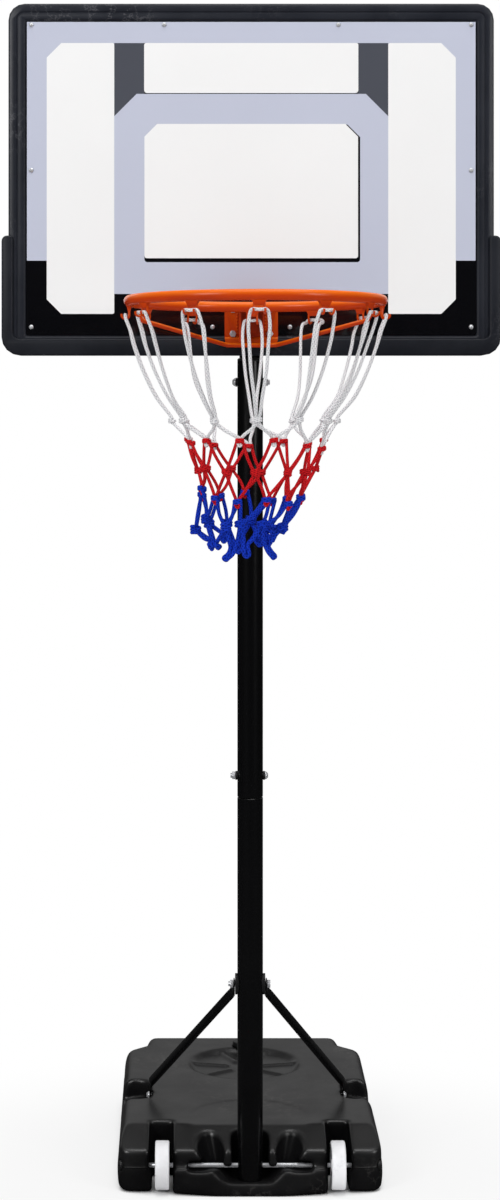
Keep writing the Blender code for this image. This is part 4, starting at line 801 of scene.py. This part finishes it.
def printed_sheet():
    """The black sheet and the thin layers printed on it, each with its corners rounded or cut."""
    whole_sheet = bmesh.new()
    left, right = SHEET_LOW.x, SHEET_HIGH.x
    low, high = SHEET_LOW.z, SHEET_HIGH.z
    front = SHEET_LOW.y
    tint, base = front - FILM, front + 0.0002
    over = tint - 2 * FILM
    edge, top = right - BARE_EDGE, high - BARE_EDGE
    none, small, rounder = (0, 1), (0.003, 3), (0.005, 4)
    plain = [none] * 4
    layers = [("print_black", oblong(left, right, low, high), [(0.006, 4)] * 4, front, SHEET_HIGH.y)]
    for side in (-1, 1):
        band, inner = side * BAND_HALF, side * INNER_HALF
        cuts = [small, (0.024, 1), (0.024, 1), small]
        layers += [
            ("print_lavender", oblong(band, side * edge, 1.559, top), plain, tint, base),
            ("print_dark", oblong(inner, band, 1.79, PANEL_TOP), plain, tint, base),
            ("print_white", oblong(band, side * 0.338, 1.471, PANEL_TOP), cuts, over, tint),
        ]
    layers.append(("print_lavender", oblong(-BAND_HALF, BAND_HALF, PANEL_TOP, top), plain, tint, base))
    cuts = [none, none, (0.037, 1), (0.037, 1)]
    shape = oblong(-BAND_HALF, BAND_HALF, 1.504, 1.8346)
    layers.append(("print_lavender", shape, cuts, tint - FILM, base))
    cuts = [rounder, rounder, small, small]
    shape = oblong(-INNER_HALF, INNER_HALF, 1.836, PANEL_TOP)
    layers.append(("print_white", shape, cuts, over, tint))
    cuts = [rounder, rounder, (0.021, 1), (0.021, 1)]
    # A black strip shows along the right and the bottom edge of the middle white panel
    layers.append(("print_black", oblong(-0.1765, 0.1800, 1.5565, 1.784), cuts, over, tint))
    cuts = [(0.004, 3), (0.004, 3), (0.021, 1), (0.021, 1)]
    layers.append(("print_white", oblong(-0.1765, 0.1765, 1.563, 1.785), cuts, tint - 3 * FILM, tint))
    looks = ["print_black", "print_lavender", "print_dark", "print_white"]
    for look, corners, cuts, y_front, y_back in layers:
        bm = bmesh.new()
        verts = [bm.verts.new((x, y_back, z)) for x, z in corners]
        bm.faces.new(verts)
        for vert, (size, steps) in zip(verts, cuts):
            if size:
                bmesh.ops.bevel(
                    bm, geom=[vert], offset=size, segments=steps, profile=0.5, affect="VERTICES",
                    material=-1,
                )
        out = bmesh.ops.extrude_face_region(bm, geom=list(bm.faces))
        moved = [g for g in out["geom"] if isinstance(g, bmesh.types.BMVert)]
        bmesh.ops.translate(bm, verts=moved, vec=(0, y_front - y_back, 0))
        bmesh.ops.recalc_face_normals(bm, faces=bm.faces)
        for face in bm.faces:
            face.material_index = looks.index(look)
        mesh = bpy.data.meshes.new("layer")
        bm.to_mesh(mesh)
        bm.free()
        whole_sheet.from_mesh(mesh)
        bpy.data.meshes.remove(mesh)
    return new_piece(
        "printed_sheet", whole_sheet, "hoop_carriage", looks, 30, ("board_sheet",),
    )


printed_sheet()


# Tank
def soft_tank():
    """The tank with the full, soft edges of a blow-moulded body."""
    tank = new_piece("tank_moulded", whole("base_tank"), "stand", "tank_plastic", 180, ("base_tank",))
    skin = tank.modifiers.new("Skin", "REMESH")
    skin.mode = "VOXEL"
    skin.voxel_size = TANK_VOXEL
    skin.use_smooth_shade = True
    soft = tank.modifiers.new("Soft", "SMOOTH")
    soft.factor = 0.5
    soft.iterations = TANK_SMOOTHING
    fewer = tank.modifiers.new("Fewer", "DECIMATE")
    fewer.ratio = TANK_FACES_KEPT
    return tank


soft_tank()

# Nodes that keep the CAD shape: look, angle up to which they are smooth, and width of a broken edge
REFINED = {
    "fill_cap": ("cap_plastic", 35, 0.0003), "axle": ("zinc", 40, 0.0),
    "axle_cap_left": ("cap_plastic", 40, 0.0004), "axle_cap_right": ("cap_plastic", 40, 0.0004),
    "wheel_left": ("wheel_plastic", 35, 0.0005), "wheel_right": ("wheel_plastic", 35, 0.0005),
    "lower_pole": ("pole_paint", 35, 0.0), "upper_pole": ("pole_paint", 35, 0.0),
    "mast_tube": ("pole_paint", 35, 0.0),
    "pole_bush": ("cap_plastic", 35, 0.0003), "mast_cap": ("cap_plastic", 35, 0.0003),
    "mast_bracket": ("pole_paint", 40, 0.0005), "backboard_frame": ("frame_plastic", 40, 0.0005),
    "edge_pad": ("pad_rubber", 40, 0.0008), "rim_brace": ("rim_paint", 60, 0.0),
    "strut_left": ("pole_paint", 50, 0.0), "strut_right": ("pole_paint", 50, 0.0),
}
body_of_node = {name: obj["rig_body"] for name, obj in NODES.items()}
for node, (look, angle, edge) in REFINED.items():
    refined(node, body_of_node[node], look, angle, edge)
replacing = [obj for obj in bpy.context.scene.objects if "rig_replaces" in obj]
replaced = {name for obj in replacing for name in obj["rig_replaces"]}
for name in NODES:
    if name not in replaced:
        look = "cap_plastic" if "washer" in name or "saddle" in name else "zinc"
        refined(name, body_of_node[name], look, 35, 0.0003)


# Stage
def lay_floor():
    """White paper that glows to the camera where nothing stands close over it, and is dark to glossy rays:
    a painted reflection.
    """
    bpy.ops.mesh.primitive_plane_add(size=40, location=(0, 0, -0.0005))
    floor = bpy.context.object
    floor.name = "floor"
    look = bpy.data.materials.new("floor_paper")
    look.use_nodes = True
    tree = look.node_tree
    shader = tree.nodes["Principled BSDF"]
    shader.inputs["Roughness"].default_value = 0.9
    shader.inputs["Specular IOR Level"].default_value = 0.0
    path = tree.nodes.new("ShaderNodeLightPath")
    # Painted reflection: the paper is pale, but dark to glossy rays, so what is glossy shows it dark
    paper = tree.nodes.new("ShaderNodeMix")
    paper.data_type = "RGBA"
    paper.inputs[6].default_value = (0.80, 0.80, 0.80, 1)
    paper.inputs[7].default_value = (0.06, 0.06, 0.06, 1)
    tree.links.new(path.outputs["Is Glossy Ray"], paper.inputs["Factor"])
    tree.links.new(paper.outputs[2], shader.inputs["Base Color"])
    glow = tree.nodes.new("ShaderNodeEmission")
    where = tree.nodes.new("ShaderNodeTexCoord")
    away = tree.nodes.new("ShaderNodeVectorMath")
    away.operation = "LENGTH"
    tree.links.new(where.outputs["Object"], away.inputs[0])
    far = span(tree, away.outputs["Value"], 0.36, 0.90, 0.78, 1.0)
    clear = math_node(tree, "MULTIPLY", far, span(tree, openness(tree, 0.07), 0.30, 0.62))
    seen = math_node(tree, "MULTIPLY", clear, path.outputs["Is Camera Ray"])
    mix = tree.nodes.new("ShaderNodeMixShader")
    tree.links.new(seen, mix.inputs[0])
    tree.links.new(shader.outputs[0], mix.inputs[1])
    tree.links.new(glow.outputs[0], mix.inputs[2])
    tree.links.new(mix.outputs[0], tree.nodes["Material Output"].inputs["Surface"])
    floor.data.materials.append(look)


def studio():
    """A white room to the camera, dimmer as light, and darker still in what is glossy."""
    world = bpy.data.worlds.new("studio")
    bpy.context.scene.world = world
    world.use_nodes = True
    tree = world.node_tree
    back = tree.nodes["Background"]
    where = tree.nodes.new("ShaderNodeTexCoord")
    parts = tree.nodes.new("ShaderNodeSeparateXYZ")
    tree.links.new(where.outputs["Generated"], parts.inputs[0])
    path = tree.nodes.new("ShaderNodeLightPath")
    soft = span(tree, parts.outputs["Z"], -0.1, 0.9, 0.18, 0.54)
    overhead = span(tree, parts.outputs["Z"], 0.55, 0.98, 0.015, 0.25)
    behind = span(tree, parts.outputs["Y"], 0.2, 0.8, 0.0, 0.36)
    behind = math_node(tree, "MULTIPLY", behind, span(tree, parts.outputs["Z"], 0.08, 0.24))
    behind = math_node(tree, "MULTIPLY", behind, span(tree, parts.outputs["Z"], 0.45, 0.70, 1.0, 0.0))
    mirrored = math_node(tree, "MAXIMUM", overhead, behind)
    level = soft
    for ray, value in (("Is Glossy Ray", mirrored), ("Is Camera Ray", 1.0)):
        mix = tree.nodes.new("ShaderNodeMix")
        mix.data_type = "FLOAT"
        tree.links.new(path.outputs[ray], mix.inputs[0])
        tree.links.new(level, mix.inputs[2])
        if isinstance(value, float):
            mix.inputs[3].default_value = value
        else:
            tree.links.new(value, mix.inputs[3])
        level = mix.outputs[0]
    back.inputs["Color"].default_value = (1, 1, 1, 1)
    tree.links.new(level, back.inputs["Strength"])


def lamp(name, place, aim, size, power):
    data = bpy.data.lights.new(name, "AREA")
    data.shape = "RECTANGLE"
    data.size, data.size_y = size
    data.energy = power
    obj = bpy.data.objects.new(name, data)
    bpy.context.scene.collection.objects.link(obj)
    obj.location = place
    obj.rotation_euler = (Vector(aim) - Vector(place)).to_track_quat("-Z", "Y").to_euler()


def front_camera():
    """The camera that the photograph was taken with, worked out from the object's own sizes."""
    scene = bpy.context.scene
    camera = bpy.data.objects.new("camera", bpy.data.cameras.new("camera"))
    scene.collection.objects.link(camera)
    camera.location = (-0.10, -3.97, 1.30)
    camera.rotation_euler = (math.pi / 2, 0, 0)
    camera.data.lens = 70.8
    camera.data.sensor_width = 36
    camera.data.shift_x = 0.0494
    camera.data.shift_y = -0.1522
    scene.camera = camera
    scene.view_settings.view_transform = "Standard"


lay_floor()
studio()
lamp("left_box", (-2.7, -3.1, 3.0), (0, -0.1, 1.1), (1.4, 2.0), 82)
lamp("right_box", (2.8, -2.6, 2.4), (0, -0.1, 1.0), (1.0, 2.0), 43)
lamp("top_box", (0.2, -0.5, 3.9), (0, 0, 0), (2.0, 2.0), 38)
front_camera()
